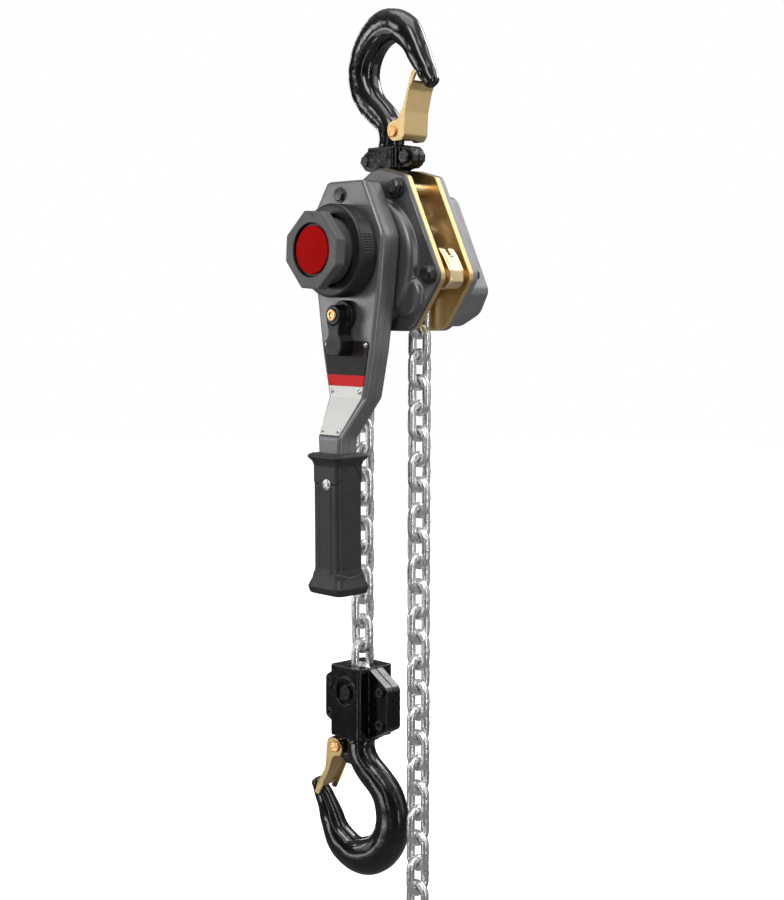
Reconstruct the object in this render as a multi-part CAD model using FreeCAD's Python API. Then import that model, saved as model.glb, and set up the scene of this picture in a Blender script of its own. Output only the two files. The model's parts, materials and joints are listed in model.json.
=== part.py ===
import FreeCAD, Part
import math
import os

V = FreeCAD.Vector
os.makedirs("parts", exist_ok=True)

# ---------------------------------------------------------------- driving dimensions (mm)
# Working frame: the load sheave's axis is the Y axis through the origin, the handwheel is on
# the -Y side, +Z is up. Everything is moved down by SEAT_Z at the end, so that the top hook's
# bearing point is the origin.
SEAT_Z = 172.15           # inside of the top hook's bowl above the sheave axis
CHAIN_D = 7.0             # chain wire
CHAIN_P = 21.0            # chain pitch
LINK_W = 23.6             # link outer width
SHEAVE_JOINT_R = 34.02    # radius of the link joints on the five-pocket sheave
CHAIN_X = 34.0            # both falls hang this far from the axis
FIRST_JOINT = 3.4         # angle of the first link joint on the free side, degrees
HALF_FLAT, HALF_UP = 13.95, 6.95   # joint to centre: a link that lies flat, one that stands up
N_LOAD = 18               # links of the load fall
N_LOAD_UP = 10            # of these, the ones that the hoist can still draw in
N_FREE = 27               # links of the free fall
N_FREE_UP = 6             # of these, the ones nearest the frame

GAP = 13.6                # half the clear width between the side plates
PLATE_T = 5.0
OUT = GAP + PLATE_T       # outer faces of the side plates
RIM_T = 2.8               # brake cover rim
COVER_FRONT = -29.0
GCOV_RIM = 24.0           # gear cover rim, outer face
GCOV_END = 50.0           # gear cover drum, outer face

LEVER_F = -49.5           # lever front face, upper part
LEVER_D = 20.0            # lever depth
LEVER_T = 2.6             # lever wall
CRANK = 19.5              # how far the lower lever steps out

PIN_Z = 57.0              # suspension pin
STAYS = [(30.0, 50.8), (67.4, -19.0), (-58.0, -22.0)]

GC = 36.875               # centre distance of both gear stages
M1, Z1P, Z1G = 1.25, 12, 47
M2 = 2 * GC / 49.0
Z2P, Z2G = 14, 35

SEL_Z = -51.6             # selector boss
HW_R = 37.7               # handwheel collar
HW_BACK, HW_FRONT = -52.3, -68.5
KNOB_F, KNOB_B = -87.7, -78.7
KNOB_A, KNOB_C = 30.8, 10.2
KNOB_TURN = 3.6

BLK_X = -34.0             # bottom block
BLK_TOP, BLK_BOT = -350.0, -411.0
BLK_Y = 19.5
FLG_X, FLG_Y = 38.7, 8.0
BH_TURN = 12.0            # the bottom hook stands turned by this about its shank

nodes = {}


# ---------------------------------------------------------------- helpers
def box(x0, x1, y0, y1, z0, z1):
    return Part.makeBox(x1 - x0, y1 - y0, z1 - z0, V(x0, y0, z0))


def ycyl(x, z, y0, y1, r):
    return Part.makeCylinder(r, y1 - y0, V(x, y0, z), V(0, 1, 0))


def zcyl(x, y, z0, z1, r):
    return Part.makeCylinder(r, z1 - z0, V(x, y, z0), V(0, 0, 1))


def xcyl(y, z, x0, x1, r):
    return Part.makeCylinder(r, x1 - x0, V(x0, y, z), V(1, 0, 0))


def rounded(pts, radii):
    """Closed wire in the XZ plane through the corners pts, each with its own radius."""
    n = len(pts)
    if not isinstance(radii, (list, tuple)):
        radii = [radii] * n
    ends = []
    for i in range(n):
        p0, p, p1 = (V(pts[(i + k) % n][0], 0, pts[(i + k) % n][1]) for k in (-1, 0, 1))
        a, b = (p0 - p), (p1 - p)
        la, lb = a.Length, b.Length
        a.normalize()
        b.normalize()
        r = radii[i]
        ang = a.getAngle(b)
        if r <= 0 or abs(ang - math.pi) < 1e-4:
            ends.append((p, None, p))
            continue
        t = min(r / math.tan(ang / 2), 0.49 * la, 0.49 * lb)
        r = t * math.tan(ang / 2)
        bis = (a + b)
        bis.normalize()
        c = p + bis * (r / math.sin(ang / 2))
        m = c - bis * r
        ends.append((p + a * t, m, p + b * t))
    edges = []
    for i in range(n):
        s, m, e = ends[i]
        if m is not None:
            edges.append(Part.Arc(s, m, e).toShape())
        nxt = ends[(i + 1) % n][0]
        if (nxt - e).Length > 1e-6:
            edges.append(Part.LineSegment(e, nxt).toShape())
    return Part.Wire(edges)


def slab(pts, radii, y0, y1):
    w = rounded(pts, radii)
    f = Part.Face(w)
    f.translate(V(0, y0, 0))
    return f.extrude(V(0, y1 - y0, 0))


def slab_yz(pts, x0, x1):
    w = Part.makePolygon([V(x0, y, z) for y, z in pts] + [V(x0, pts[0][0], pts[0][1])])
    return Part.Face(w).extrude(V(x1 - x0, 0, 0))


def inset(pts, d):
    """Polygon moved inwards by d (corners listed clockwise seen from the front, or not)."""
    n = len(pts)
    area = sum(pts[i][0] * pts[(i + 1) % n][1] - pts[(i + 1) % n][0] * pts[i][1] for i in range(n))
    s = 1 if area > 0 else -1
    out = []
    for i in range(n):
        x0, z0 = pts[i - 1]
        x1, z1 = pts[i]
        x2, z2 = pts[(i + 1) % n]
        ax, az = x1 - x0, z1 - z0
        bx, bz = x2 - x1, z2 - z1
        la, lb = math.hypot(ax, az), math.hypot(bx, bz)
        n1 = (-az / la * s, ax / la * s)
        n2 = (-bz / lb * s, bx / lb * s)
        k = d / (1 + n1[0] * n2[0] + n1[1] * n2[1])
        out.append((x1 + (n1[0] + n2[0]) * k, z1 + (n1[1] + n2[1]) * k))
    return out


def try_fillet(shape, r, pick):
    edges = [e for e in shape.Edges if pick(e)]
    if not edges:
        return shape
    try:
        s = shape.makeFillet(r, edges)
        if s.isValid() and s.Volume > 0 and len(s.Solids) == len(shape.Solids):
            return s
    except Exception:
        pass
    print("fillet left out", r)
    return shape


def on_plane_y(y, tol=0.01):
    return lambda e: abs(e.BoundBox.YMin - y) < tol and abs(e.BoundBox.YMax - y) < tol


def gear(z, m, y0, y1, phase, bore, backlash=0.10):
    """Spur gear about the Y axis, 25 degree stub involute. phase: angle in degrees, in the XZ
    plane from +X towards +Z, of one tooth's centre."""
    al = math.radians(25)
    rp = m * z / 2
    rb = rp * math.cos(al)
    rt = rp + 0.8 * m
    rr = rp - 1.0 * m
    inv = lambda a: math.tan(a) - a
    inv0 = inv(al)

    def half(r):
        a = math.acos(min(1.0, rb / r))
        return math.pi / (2 * z) - backlash / (2 * rp) + inv0 - inv(a)

    rs = max(rb + 1e-3, rr)
    rm = (rs + rt) / 2
    P = lambda r, a: V(r * math.cos(a), 0, r * math.sin(a))
    edges = []
    ph = math.radians(phase)
    for k in range(z):
        c = ph + 2 * math.pi * k / z
        a = [(rs, c - half(rs)), (rm, c - half(rm)), (rt, c - half(rt))]
        b = [(rt, c + half(rt)), (rm, c + half(rm)), (rs, c + half(rs))]
        if rr < rs - 1e-6:
            edges.append(Part.LineSegment(P(rr, a[0][1]), P(*a[0])).toShape())
        edges.append(Part.Arc(P(*a[0]), P(*a[1]), P(*a[2])).toShape())
        edges.append(Part.Arc(P(*a[2]), P(rt, c), P(*b[0])).toShape())
        edges.append(Part.Arc(P(*b[0]), P(*b[1]), P(*b[2])).toShape())
        if rr < rs - 1e-6:
            edges.append(Part.LineSegment(P(*b[2]), P(rr, b[2][1])).toShape())
        r0 = rr if rr < rs - 1e-6 else rs
        c2 = c + 2 * math.pi / z
        s_a, e_a = b[2][1], c2 - half(rs)
        edges.append(Part.Arc(P(r0, s_a), P(r0, (s_a + e_a) / 2), P(r0, e_a)).toShape())
    f = Part.Face(Part.Wire(edges))
    f.translate(V(0, y0, 0))
    s = f.extrude(V(0, y1 - y0, 0))
    if bore:
        s = s.cut(ycyl(0, 0, y0 - 1, y1 + 1, bore))
    return s


def hexagon(x, z, y0, y1, af, turn=0.0):
    r = af / math.sqrt(3)
    pts = [V(x + r * math.cos(math.radians(60 * k + turn)), y0, z + r * math.sin(math.radians(60 * k + turn))) for k in range(6)]
    return Part.Face(Part.makePolygon(pts + [pts[0]])).extrude(V(0, y1 - y0, 0))


def revolve_y(profile):
    """Solid of revolution about the Y axis; profile is a list of (r, y)."""
    pts = [V(r, y, 0) for r, y in profile]
    f = Part.Face(Part.makePolygon(pts + [pts[0]]))
    return f.revolve(V(0, 0, 0), V(0, 1, 0), 360)


def revolve_z(profile, x=0.0, y=0.0):
    pts = [V(x + r, y, z) for r, z in profile]
    f = Part.Face(Part.makePolygon(pts + [pts[0]]))
    return f.revolve(V(x, y, 0), V(0, 0, 1), 360)


def link(cx, cz, turn, flat, tilt=0.0):
    """One chain link centred at (cx, 0, cz). Its long way is vertical before tilt (degrees about
    Y). flat: it lies across the sheave (its plane holds the Y axis)."""
    R = (LINK_W - CHAIN_D) / 2
    r = CHAIN_D / 2
    s = (CHAIN_P + CHAIN_D - 2 * R) / 2
    top = Part.makeTorus(R, r, V(0, 0, s), V(0, 1, 0), 0, 360).common(box(-30, 30, -10, 10, s, 40))
    bot = Part.makeTorus(R, r, V(0, 0, -s), V(0, 1, 0), 0, 360).common(box(-30, 30, -10, 10, -40, -s))
    solid = top.fuse([bot, zcyl(-R, 0, -s, s, r), zcyl(R, 0, -s, s, r)])
    if flat:
        solid.rotate(V(0, 0, 0), V(0, 0, 1), 90)
    if turn:
        solid.rotate(V(0, 0, 0), V(0, 0, 1), turn)
    if tilt:
        solid.rotate(V(0, 0, 0), V(0, 1, 0), tilt)
    solid.translate(V(cx, 0, cz))
    return solid.Solids[0]


def section(c, tan, w, t, power=2.35, n=16):
    """Closed smooth section wire at c, across tan, w wide in the XZ plane and t wide in Y."""
    tan = V(tan)
    tan.normalize()
    nx = V(0, 1, 0).cross(tan)
    nx.normalize()
    pts = []
    for k in range(n):
        a = 2 * math.pi * k / n
        ca, sa = math.cos(a), math.sin(a)
        u = math.copysign(abs(ca) ** (2 / power), ca) * w / 2
        v = math.copysign(abs(sa) ** (2 / power), sa) * t / 2
        pts.append(c + nx * u + V(0, 1, 0) * v)
    bs = Part.BSplineCurve()
    bs.interpolate(Points=pts, PeriodicFlag=True)
    return Part.Wire(bs.toShape())


def spline_body(path, widths, n):
    """Loft along a smooth line through path, a list of (x, z). widths: list of (fraction of the
    length, in-plane width, depth)."""
    bs = Part.BSplineCurve()
    bs.interpolate([V(x, 0, z) for x, z in path])
    L = bs.length()
    wires = []
    for i in range(n):
        f = i / (n - 1)
        u = bs.parameterAtDistance(f * L, bs.FirstParameter)
        p = bs.value(u)
        tan = bs.tangent(u)[0]
        for (f0, w0, t0), (f1, w1, t1) in zip(widths, widths[1:]):
            if f0 - 1e-9 <= f <= f1 + 1e-9:
                k = (f - f0) / (f1 - f0)
                k = k * k * (3 - 2 * k)
                w, t = w0 + (w1 - w0) * k, t0 + (t1 - t0) * k
                break
        wires.append(section(p, tan, w, t))
    s = Part.makeLoft(wires, True, False)
    return s


# ---------------------------------------------------------------- hooks
top_path = [(0.9, 93.0), (0.2, 101.5), (-7.0, 111.2), (-19.2, 120.8), (-28.2, 131.5), (-32.4, 142.0),
            (-32.9, 153.7), (-28.7, 166.6), (-20.1, 177.6), (-9.0, 184.9), (1.0, 186.4), (10.6, 184.4),
            (19.5, 178.4), (26.0, 170.6), (31.6, 161.3), (37.9, 150.6), (44.2, 140.6), (49.0, 133.2)]
top_w = [(0, 21, 21), (0.06, 21, 21), (0.16, 24, 21), (0.3, 26.5, 23.5), (0.46, 28, 24), (0.58, 29.5, 24),
         (0.7, 25.5, 22), (0.82, 19.5, 18.5), (0.93, 16, 15), (0.985, 12.5, 12), (1.0, 8, 8)]
hook = spline_body(top_path, top_w, 34)
shank = revolve_z([(0, 100), (10.5, 100), (10.5, 87.2), (8.0, 86.2), (8.0, 76.5), (11.5, 76.5), (11.5, 70.5), (0, 70.5)])
PTX, PTZ = 15.5, 97.6     # top latch pin
lug = slab([(2, 92.5), (18, 91), (21.2, 93.5), (21.2, 101.5), (12, 111), (-2, 113)], 3.0, -6.2, 6.2)
top_hook = hook.fuse([shank, lug])
top_hook = top_hook.cut(ycyl(PTX, PTZ, -20, 20, 3.03)).removeSplitter()
nodes["top_hook"] = top_hook

nodes["top_latch_pin"] = ycyl(PTX, PTZ, -13.4, 13.4, 3.0).fuse(
    [ycyl(PTX, PTZ, -15.2, -13.4, 4.6), ycyl(PTX, PTZ, 13.4, 15.2, 4.6)])

# sprung latch: a web that closes the throat and two cheeks that stand either side of the neck
# and of the hook's tip
latch_out = [(PTX - 1.5, PTZ - 7.6), (25.5, PTZ - 7.6), (29.2, 94.5), (30.2, 113), (34.6, 130), (41.8, 143.4), (38.8, 146.4),
             (35.2, 140), (28.8, 121), (22.0, 108.0), (10.0, 105.2), (PTX - 7.4, PTZ)]
latch_rad = [6, 3.5, 6, 10, 12, 1.6, 1.6, 10, 14, 5, 5, 6]
lo = slab(latch_out, latch_rad, -13.2, 13.2)
li = slab([(-5, 80), (23.0, 80), (26.6, 96), (27.5, 113.5), (32.0, 130.8), (38.5, 143), (30, 158), (10, 158), (-5, 120)], 0, -11.0, 11.0)
latch = lo.cut(li).cut(ycyl(PTX, PTZ, -20, 20, 3.05))
latch = latch.cut(slab([(28.6, 144.2), (44.6, 130.0), (60, 125), (60, 170), (28.6, 170)], 0, -11.0, 11.0))
nodes["top_latch"] = latch.Solids[0] if len(latch.Solids) == 1 else max(latch.Solids, key=lambda s: s.Volume)

spr = []
for k in range(3):
    y = 8.65 + 0.9 * k
    spr.append(Part.makeTorus(4.2, 0.42, V(PTX, y, PTZ), V(0, 1, 0)))
nodes["top_latch_spring"] = Part.makeCompound(spr)

# ---------------------------------------------------------------- top yoke, two bolted halves
def yoke_solid():
    body = box(-17, 17, -13.1, 13.1, 68.5, 86.4)
    body = try_fillet(body, 4.0, lambda e: abs(e.BoundBox.XLength) < 0.01 and abs(e.BoundBox.YLength) < 0.01)
    tang = slab([(-10.8, 72), (10.8, 72), (10.8, 46.3), (-10.8, 46.3)], [0, 0, 10.7, 10.7], -13.1, 13.1)
    lobe_l = slab([(-10, 84.5), (-28.5, 84.5), (-28.5, 67.5), (-10, 67.5)], [0, 8.4, 8.4, 0], -7.0, 7.0)
    lobe_r = slab([(10, 86.2), (33, 86.2), (33, 68.3), (10, 68.3)], [0, 8.9, 8.9, 0], -7.0, 7.0)
    s = body.fuse([tang, lobe_l, lobe_r])
    s = s.cut(revolve_z([(0, 90), (10.6, 90), (10.6, 86.0), (8.12, 86.0), (8.12, 76.6), (11.7, 76.6), (11.7, 69.8), (0, 69.8)]))
    s = s.cut(ycyl(0, PIN_Z, -20, 20, 5.56))
    s = s.cut(ycyl(-22.2, 76, -20, 20, 3.02)).cut(ycyl(24.2, 77.3, -20, 20, 3.02))
    return s.removeSplitter()


yk = yoke_solid()
nodes["yoke_front"] = yk.common(box(-60, 60, -40, 0, 0, 200))
nodes["yoke_rear"] = yk.common(box(-60, 60, 0, 40, 0, 200))
bolts = []
nuts = []
for x, z, af in ((-22.2, 76.0, 8.6), (24.2, 77.3, 10.0)):
    h = hexagon(x, z, -10.2, -7.0, af, 12)
    b = ycyl(x, z, -7.0, 11.6, 3.0).fuse(h)
    bolts.append(b)
    nuts.append(hexagon(x, z, 7.0, 11.0, af, 25).cut(ycyl(x, z, 6, 12, 3.02)))
nodes["yoke_bolts"] = Part.makeCompound(bolts + nuts)
nodes["suspension_pin"] = ycyl(0, PIN_Z, 0.1 - OUT, OUT - 0.1, 5.5)

# ---------------------------------------------------------------- frame
plate_pts = [(5, 69.8), (37.6, 61.3), (78.9, -21.2), (47.0, -64.4), (-44, -64.4), (-72, -20), (-46, 40)]
plate_rad = [28, 6, 11, 16, 14, 18, 16]
plate = slab(plate_pts, plate_rad, 0, PLATE_T)
for x, z in STAYS:
    plate = plate.cut(ycyl(x, z, -1, 10, 3.02))
plate = plate.cut(ycyl(0, PIN_Z, -1, 10, 5.52)).cut(ycyl(0, 0, -1, 10, 21.0))
pa = plate.copy()
pa.translate(V(0, -OUT, 0))
PAWLS = [200.0, 20.0]
PAWL_R = 38.5
for a in PAWLS:
    pa = pa.cut(ycyl(PAWL_R * math.cos(math.radians(a)), PAWL_R * math.sin(math.radians(a)), -20, -10, 2.52))
nodes["side_plate_front"] = pa
pb = plate.copy()
pb.translate(V(0, GAP, 0))
gdir = [(GC * math.cos(math.radians(a)), GC * math.sin(math.radians(a))) for a in (-45.0, 135.0)]
for x, z in gdir:
    pb = pb.cut(ycyl(x, z, 10, 25, 4.05))
nodes["side_plate_rear"] = pb

sleeves, fbolts, fnuts = [], [], []
for i, (x, z) in enumerate(STAYS):
    s = ycyl(x, z, -GAP, GAP, 4.4).cut(ycyl(x, z, -20, 20, 3.02))
    sleeves.append(s)
    seat = -OUT - RIM_T
    hex_ = hexagon(x, z, -28.9, seat - 2.0, 13.4, 10 + 17 * i).common(Part.makeSphere(9.0, V(x, -20.6, z)))
    head = ycyl(x, z, seat - 2.0, seat, 8.0).fuse(hex_)
    fbolts.append(head.fuse(ycyl(x, z, seat, GCOV_RIM + 8.6, 3.0)).removeSplitter())
    nut = ycyl(x, z, GCOV_RIM, GCOV_RIM + 1.4, 5.0).fuse(hexagon(x, z, GCOV_RIM + 1.4, GCOV_RIM + 7.4, 8.8, 20 + 13 * i))
    fnuts.append(nut.cut(ycyl(x, z, 20, 40, 3.02)))
nodes["stay_sleeves"] = Part.makeCompound(sleeves)
nodes["frame_bolts"] = Part.makeCompound(fbolts + fnuts)

# chain guide: a forked casting on the right-hand stay, its prongs point at the sheave
gx, gz = STAYS[1]
guide = slab([(51.5, 0.5), (58.0, 2.6), (64.5, 2.6), (70.0, -4.2), (76.9, -15.5), (76.9, -26.0), (70.5, -30.4), (56, -31), (51.5, -22)],
             [1.5, 4, 5, 6, 5, 5, 5, 3, 4], -8.2, 8.2)
guide = guide.cut(box(40, 61.8, -5.0, 5.0, -40, 10))
guide = guide.cut(slab([(44, -40), (58, -16), (44, 0.5)], 0, -20, 20)).cut(ycyl(gx, gz, -20, 20, 4.45))
guide = guide.cut(box(60.0, 69.6, -2.0, 2.0, -7.0, 10)).cut(xcyl(0, -7.0, 60.0, 69.6, 2.0))
nodes["chain_guide"] = max(guide.Solids, key=lambda s: s.Volume)

# brake cover: rim on the plate's outline, a round drum and a small lobe, open in the middle
rim = slab(plate_pts, plate_rad, -OUT - RIM_T, -OUT)
drum_c = (2.0, -7.7)
drum = ycyl(drum_c[0], drum_c[1], COVER_FRONT, -OUT, 52.1)
drum = try_fillet(drum, 6.0, on_plane_y(COVER_FRONT))
lobe = ycyl(44.0, -37.0, -26.5, -OUT, 16.6)
lobe = try_fillet(lobe, 3.0, on_plane_y(-26.5))
bc = rim.fuse([drum, lobe])
bc = bc.cut(ycyl(drum_c[0], drum_c[1], -27.0, 0.5 - OUT, 48.4)).cut(ycyl(0, 0, -35, 0.5 - OUT, 29.5))
for x, z in STAYS:
    bc = bc.cut(ycyl(x, z, -40, -10, 3.02))
nodes["brake_cover"] = bc.removeSplitter()

# gear cover: a rim on the plate's outline and a deep casing that clears both gear pairs
case_pts = [(-10, 60.2), (31.0, 44.6), (67.6, -31.9), (57.5, -50.8), (37, -61), (13.5, -61), (-60.2, 12.7), (-60.2, 60.2)]
case_rad = [14, 9, 10, 14, 18, 20, 20, 33]
gc_rim = slab(plate_pts, plate_rad, OUT, GCOV_RIM)
gc_rim = try_fillet(gc_rim, 1.5, on_plane_y(GCOV_RIM))
gc_drum = slab(case_pts, case_rad, GCOV_RIM - 3, GCOV_END)
gc_drum = try_fillet(gc_drum, 5.0, on_plane_y(GCOV_END))
gcv = gc_rim.fuse(gc_drum)
hollow = slab(inset(plate_pts, 2.4), [max(r - 2.4, 2) for r in plate_rad], OUT - 0.5, GCOV_RIM - 2.2)
for x, z in STAYS:
    hollow = hollow.cut(ycyl(x, z, 10, 40, 6.2))
gcv = gcv.cut(hollow).cut(slab(inset(case_pts, 2.2), [max(r - 2.2, 2) for r in case_rad], OUT - 0.5, GCOV_END - 2.2).cut(
    Part.makeCompound([ycyl(x, z, 10, GCOV_RIM + 0.1, 6.2) for x, z in STAYS])))
for x, z in gdir:
    gcv = gcv.fuse(ycyl(x, z, 41.0, GCOV_END - 2.0, 8.0)).cut(ycyl(x, z, 40, 47.0, 4.05))
gcv = gcv.fuse(ycyl(0, 0, 42.0, GCOV_END - 2.0, 9.0)).cut(ycyl(0, 0, 40, 47.6, 5.05))
for x, z in STAYS:
    gcv = gcv.cut(ycyl(x, z, 10, 40, 3.02))
nodes["gear_cover"] = gcv.removeSplitter()

# ---------------------------------------------------------------- load sheave, bearings, gears
shv = ycyl(0, 0, -13.1, 13.1, 37.5)
shv = shv.cut(ycyl(0, 0, -4.4, 4.4, 60).cut(ycyl(0, 0, -5, 5, 19.6)))
for k in range(5):
    a = FIRST_JOINT + 47.78 + 72.0 * k    # the flat links of the wrap sit at these angles
    p = box(-20.4, 20.4, -12.2, 12.2, 26.8, 60)
    p.rotate(V(0, 0, 0), V(0, 1, 0), 90.0 - a)
    shv = shv.cut(p)
shv = shv.fuse([ycyl(0, 0, -18.6, -13.0, 16.0), ycyl(0, 0, 13.0, 19.8, 16.0), ycyl(0, 0, 19.8, 31.0, 13.0)])
shv = shv.cut(ycyl(0, 0, -30, 40, 7.6)).removeSplitter()
nodes["load_sheave"] = shv
nodes["sheave_bearings"] = Part.makeCompound([
    ycyl(0, 0, -18.5, -14.2, 20.97).cut(ycyl(0, 0, -30, 0, 16.04)),
    ycyl(0, 0, 14.2, 18.5, 20.97).cut(ycyl(0, 0, 0, 30, 16.04))])
nodes["load_gear"] = gear(Z2G, M2, 20.6, 30.6, -45.0, 13.02)


def inter(cx, cz, gap_dir, tooth_mode):
    big = gear(Z1G, M1, 33.0, 39.0, gap_dir + 180.0 / Z1G, 0)
    small = gear(Z2P, M2, 20.6, 33.0, gap_dir + (0 if tooth_mode else 180.0 / Z2P), 0)
    s = big.fuse([small, ycyl(0, 0, 15.0, 46.6, 4.0)])
    s.translate(V(cx, 0, cz))
    return s.removeSplitter()


nodes["reduction_gear_lower"] = inter(gdir[0][0], gdir[0][1], 135.0, False)
nodes["reduction_gear_upper"] = inter(gdir[1][0], gdir[1][1], -45.0, True)

shaft = ycyl(0, 0, -72.0, 32.2, 7.0).fuse([gear(Z1P, M1, 32.2, 40.2, -45.0, 0), ycyl(0, 0, 40.2, 47.2, 5.0),
                                             ycyl(0, 0, -80.0, -72.0, 5.0)])
nodes["drive_shaft"] = shaft.removeSplitter()

# ---------------------------------------------------------------- load brake
nodes["brake_hub"] = ycyl(0, 0, -22.6, -20.1, 26.0).cut(ycyl(0, 0, -40, 0, 7.02))
R_TIP, R_ROOT, N_T = 31.0, 27.2, 12
FACE0 = 18.6
pts = []
for k in range(N_T):
    a0 = math.radians(FACE0 + 30 * k)
    a1 = math.radians(FACE0 + 30 * (k + 1))
    pts.append((R_ROOT * math.cos(a0), R_ROOT * math.sin(a0)))
    pts.append((R_TIP * math.cos(a0 + 0.01), R_TIP * math.sin(a0 + 0.01)))
    am = a0 + 0.13
    pts.append((R_TIP * math.cos(am), R_TIP * math.sin(am)))
rd = slab([(x, -z) for x, z in pts], 0, -26.6, -23.6).cut(ycyl(0, 0, -40, 0, 7.6))
nodes["ratchet_disc"] = rd
nodes["friction_discs"] = Part.makeCompound([ycyl(0, 0, y, y + 1.0, 25.5).cut(ycyl(0, 0, -40, 0, 7.6)) for y in (-23.6, -27.6)])
# change gear: pressure flange against the brake and eight teeth for the selector pawl
cg_pts = []
for k in range(8):
    c = -90 + 22.5 + 45 * k
    for r, da in ((17.4, -8.2), (21.0, -4.4), (21.0, 4.4), (17.4, 8.2)):
        a = math.radians(c + da)
        cg_pts.append((r * math.cos(a), r * math.sin(a)))
cg = slab(cg_pts, 0, -43.6, -30.6).fuse([ycyl(0, 0, -30.6, -27.6, 26.0), ycyl(0, 0, -47.0, -43.6, 15.0)])
nodes["change_gear"] = cg.cut(ycyl(0, 0, -60, 0, 7.02)).removeSplitter()

# brake pawls, studs and springs
studs, psprings = [], []
for n, a in zip("ab", PAWLS):
    px, pz = PAWL_R * math.cos(math.radians(a)), PAWL_R * math.sin(math.radians(a))
    # local frame: +X radial outwards, the tip trails the stud when the load is raised
    tip_a = math.radians(36.4)
    face_r0, face_r1 = R_ROOT + 1.4, R_TIP + 0.6
    tx0, tz0 = face_r0 * math.cos(tip_a) - PAWL_R, face_r0 * math.sin(tip_a)
    tx1, tz1 = face_r1 * math.cos(tip_a) - PAWL_R, face_r1 * math.sin(tip_a)
    th = math.radians(30.5)
    bx, bz = (R_TIP + 0.9) * math.cos(math.radians(24)) - PAWL_R, (R_TIP + 0.9) * math.sin(math.radians(24))
    pts = [(-4.2, -1.0), (bx, bz), ((face_r0 + 1.1) * math.cos(th) - PAWL_R, (face_r0 + 1.1) * math.sin(th)), (tx0, tz0), (tx1, tz1),
           (tx1 + 2.6, tz1 - 1.2), (4.2, 4.5), (4.2, -1.0)]
    p = slab([(x, -z) for x, z in pts], 0, -26.4, -23.8).fuse(ycyl(0, 0, -26.4, -23.8, 4.6)).cut(ycyl(0, 0, -40, 0, 2.53))
    p.translate(V(PAWL_R, 0, 0))
    p.rotate(V(0, 0, 0), V(0, 1, 0), -a)
    nodes["pawl_" + n] = p.removeSplitter()
    studs.append(ycyl(px, pz, -26.4, -14.6, 2.5).fuse(ycyl(px, pz, -26.95, -26.42, 3.6)))
    psprings.append(Part.makeCompound([Part.makeTorus(3.4, 0.4, V(px, -20.4 - 0.85 * k, pz), V(0, 1, 0)) for k in range(4)]))
nodes["pawl_studs"] = Part.makeCompound(studs)
nodes["pawl_springs"] = Part.makeCompound([t for c in psprings for t in c.Solids])

# ---------------------------------------------------------------- lever
lev_pts = [(-24.8, 57.0), (20.0, 56.8), (42.8, 12.0), (38.2, -31.0), (30.9, -80.0), (22.6, -118.0), (14.2, -150.0), (13.4, -160.0),
           (13.4, -214.0), (-13.4, -214.0), (-13.4, -160.0), (-14.2, -150.0), (-22.6, -118.0), (-30.9, -80.0), (-38.2, -31.0), (-42.8, 12.0), (-42.0, 30.5)]
lev_rad = [4, 4, 10, 0, 0, 18, 14, 0, 2, 2, 0, 14, 18, 0, 0, 8, 10]


def lever_side(off_f, off_b):
    f, b = LEVER_F + off_f, LEVER_F + LEVER_D - off_b
    return [(f, 80), (f, -118.5), (f - CRANK, -150.5), (f - CRANK, -230), (b - CRANK, -230), (b - CRANK, -151.5), (b, -119.5), (b, 80)]


outer = slab(lev_pts, lev_rad, -90, 0).common(slab_yz(lever_side(0, 0), -60, 60))
in_pts = inset(lev_pts, LEVER_T)
inner = slab(in_pts, [max(r - LEVER_T, 0) for r in lev_rad], -90, 0).common(slab_yz(lever_side(LEVER_T, LEVER_T), -60, 60))
shell = outer.cut(inner)
mid = LEVER_F + LEVER_D / 2
front_half = slab_yz([(-120, 90), (mid, 90), (mid, -119), (mid - CRANK, -151), (mid - CRANK, -240), (-120, -240)], -80, 80)
lf = shell.common(front_half)
lr = shell.cut(front_half)
# bosses between the halves
boss_b = ycyl(-8.0, 45.6, LEVER_F + 1, LEVER_F + LEVER_D - 1, 5.5)
lf = lf.fuse(boss_b.common(front_half))
lr = lr.fuse(boss_b.cut(front_half))
lf = lf.cut(ycyl(0, 0, -60, -40, 16.0)).cut(ycyl(-8.0, 45.6, -60, -20, 3.02)).cut(ycyl(0, SEL_Z, -60, -40, 4.55))
lr = lr.cut(ycyl(0, 0, -40, -20, 28.0)).cut(ycyl(-8.0, 45.6, -60, -20, 3.02)).cut(ycyl(0, SEL_Z, -40, -20, 3.55))
nodes["lever_front"] = max(lf.Solids, key=lambda s: s.Volume)
nodes["lever_rear"] = max(lr.Solids, key=lambda s: s.Volume)
nodes["lever_bolt"] = ycyl(-8.0, 45.6, LEVER_F - 1.2, LEVER_F, 6.4).fuse(
    [hexagon(-8.0, 45.6, LEVER_F - 3.2, LEVER_F - 1.2, 9.6, 8), ycyl(-8.0, 45.6, LEVER_F, LEVER_F + LEVER_D + 0.0, 3.0)])

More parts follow.
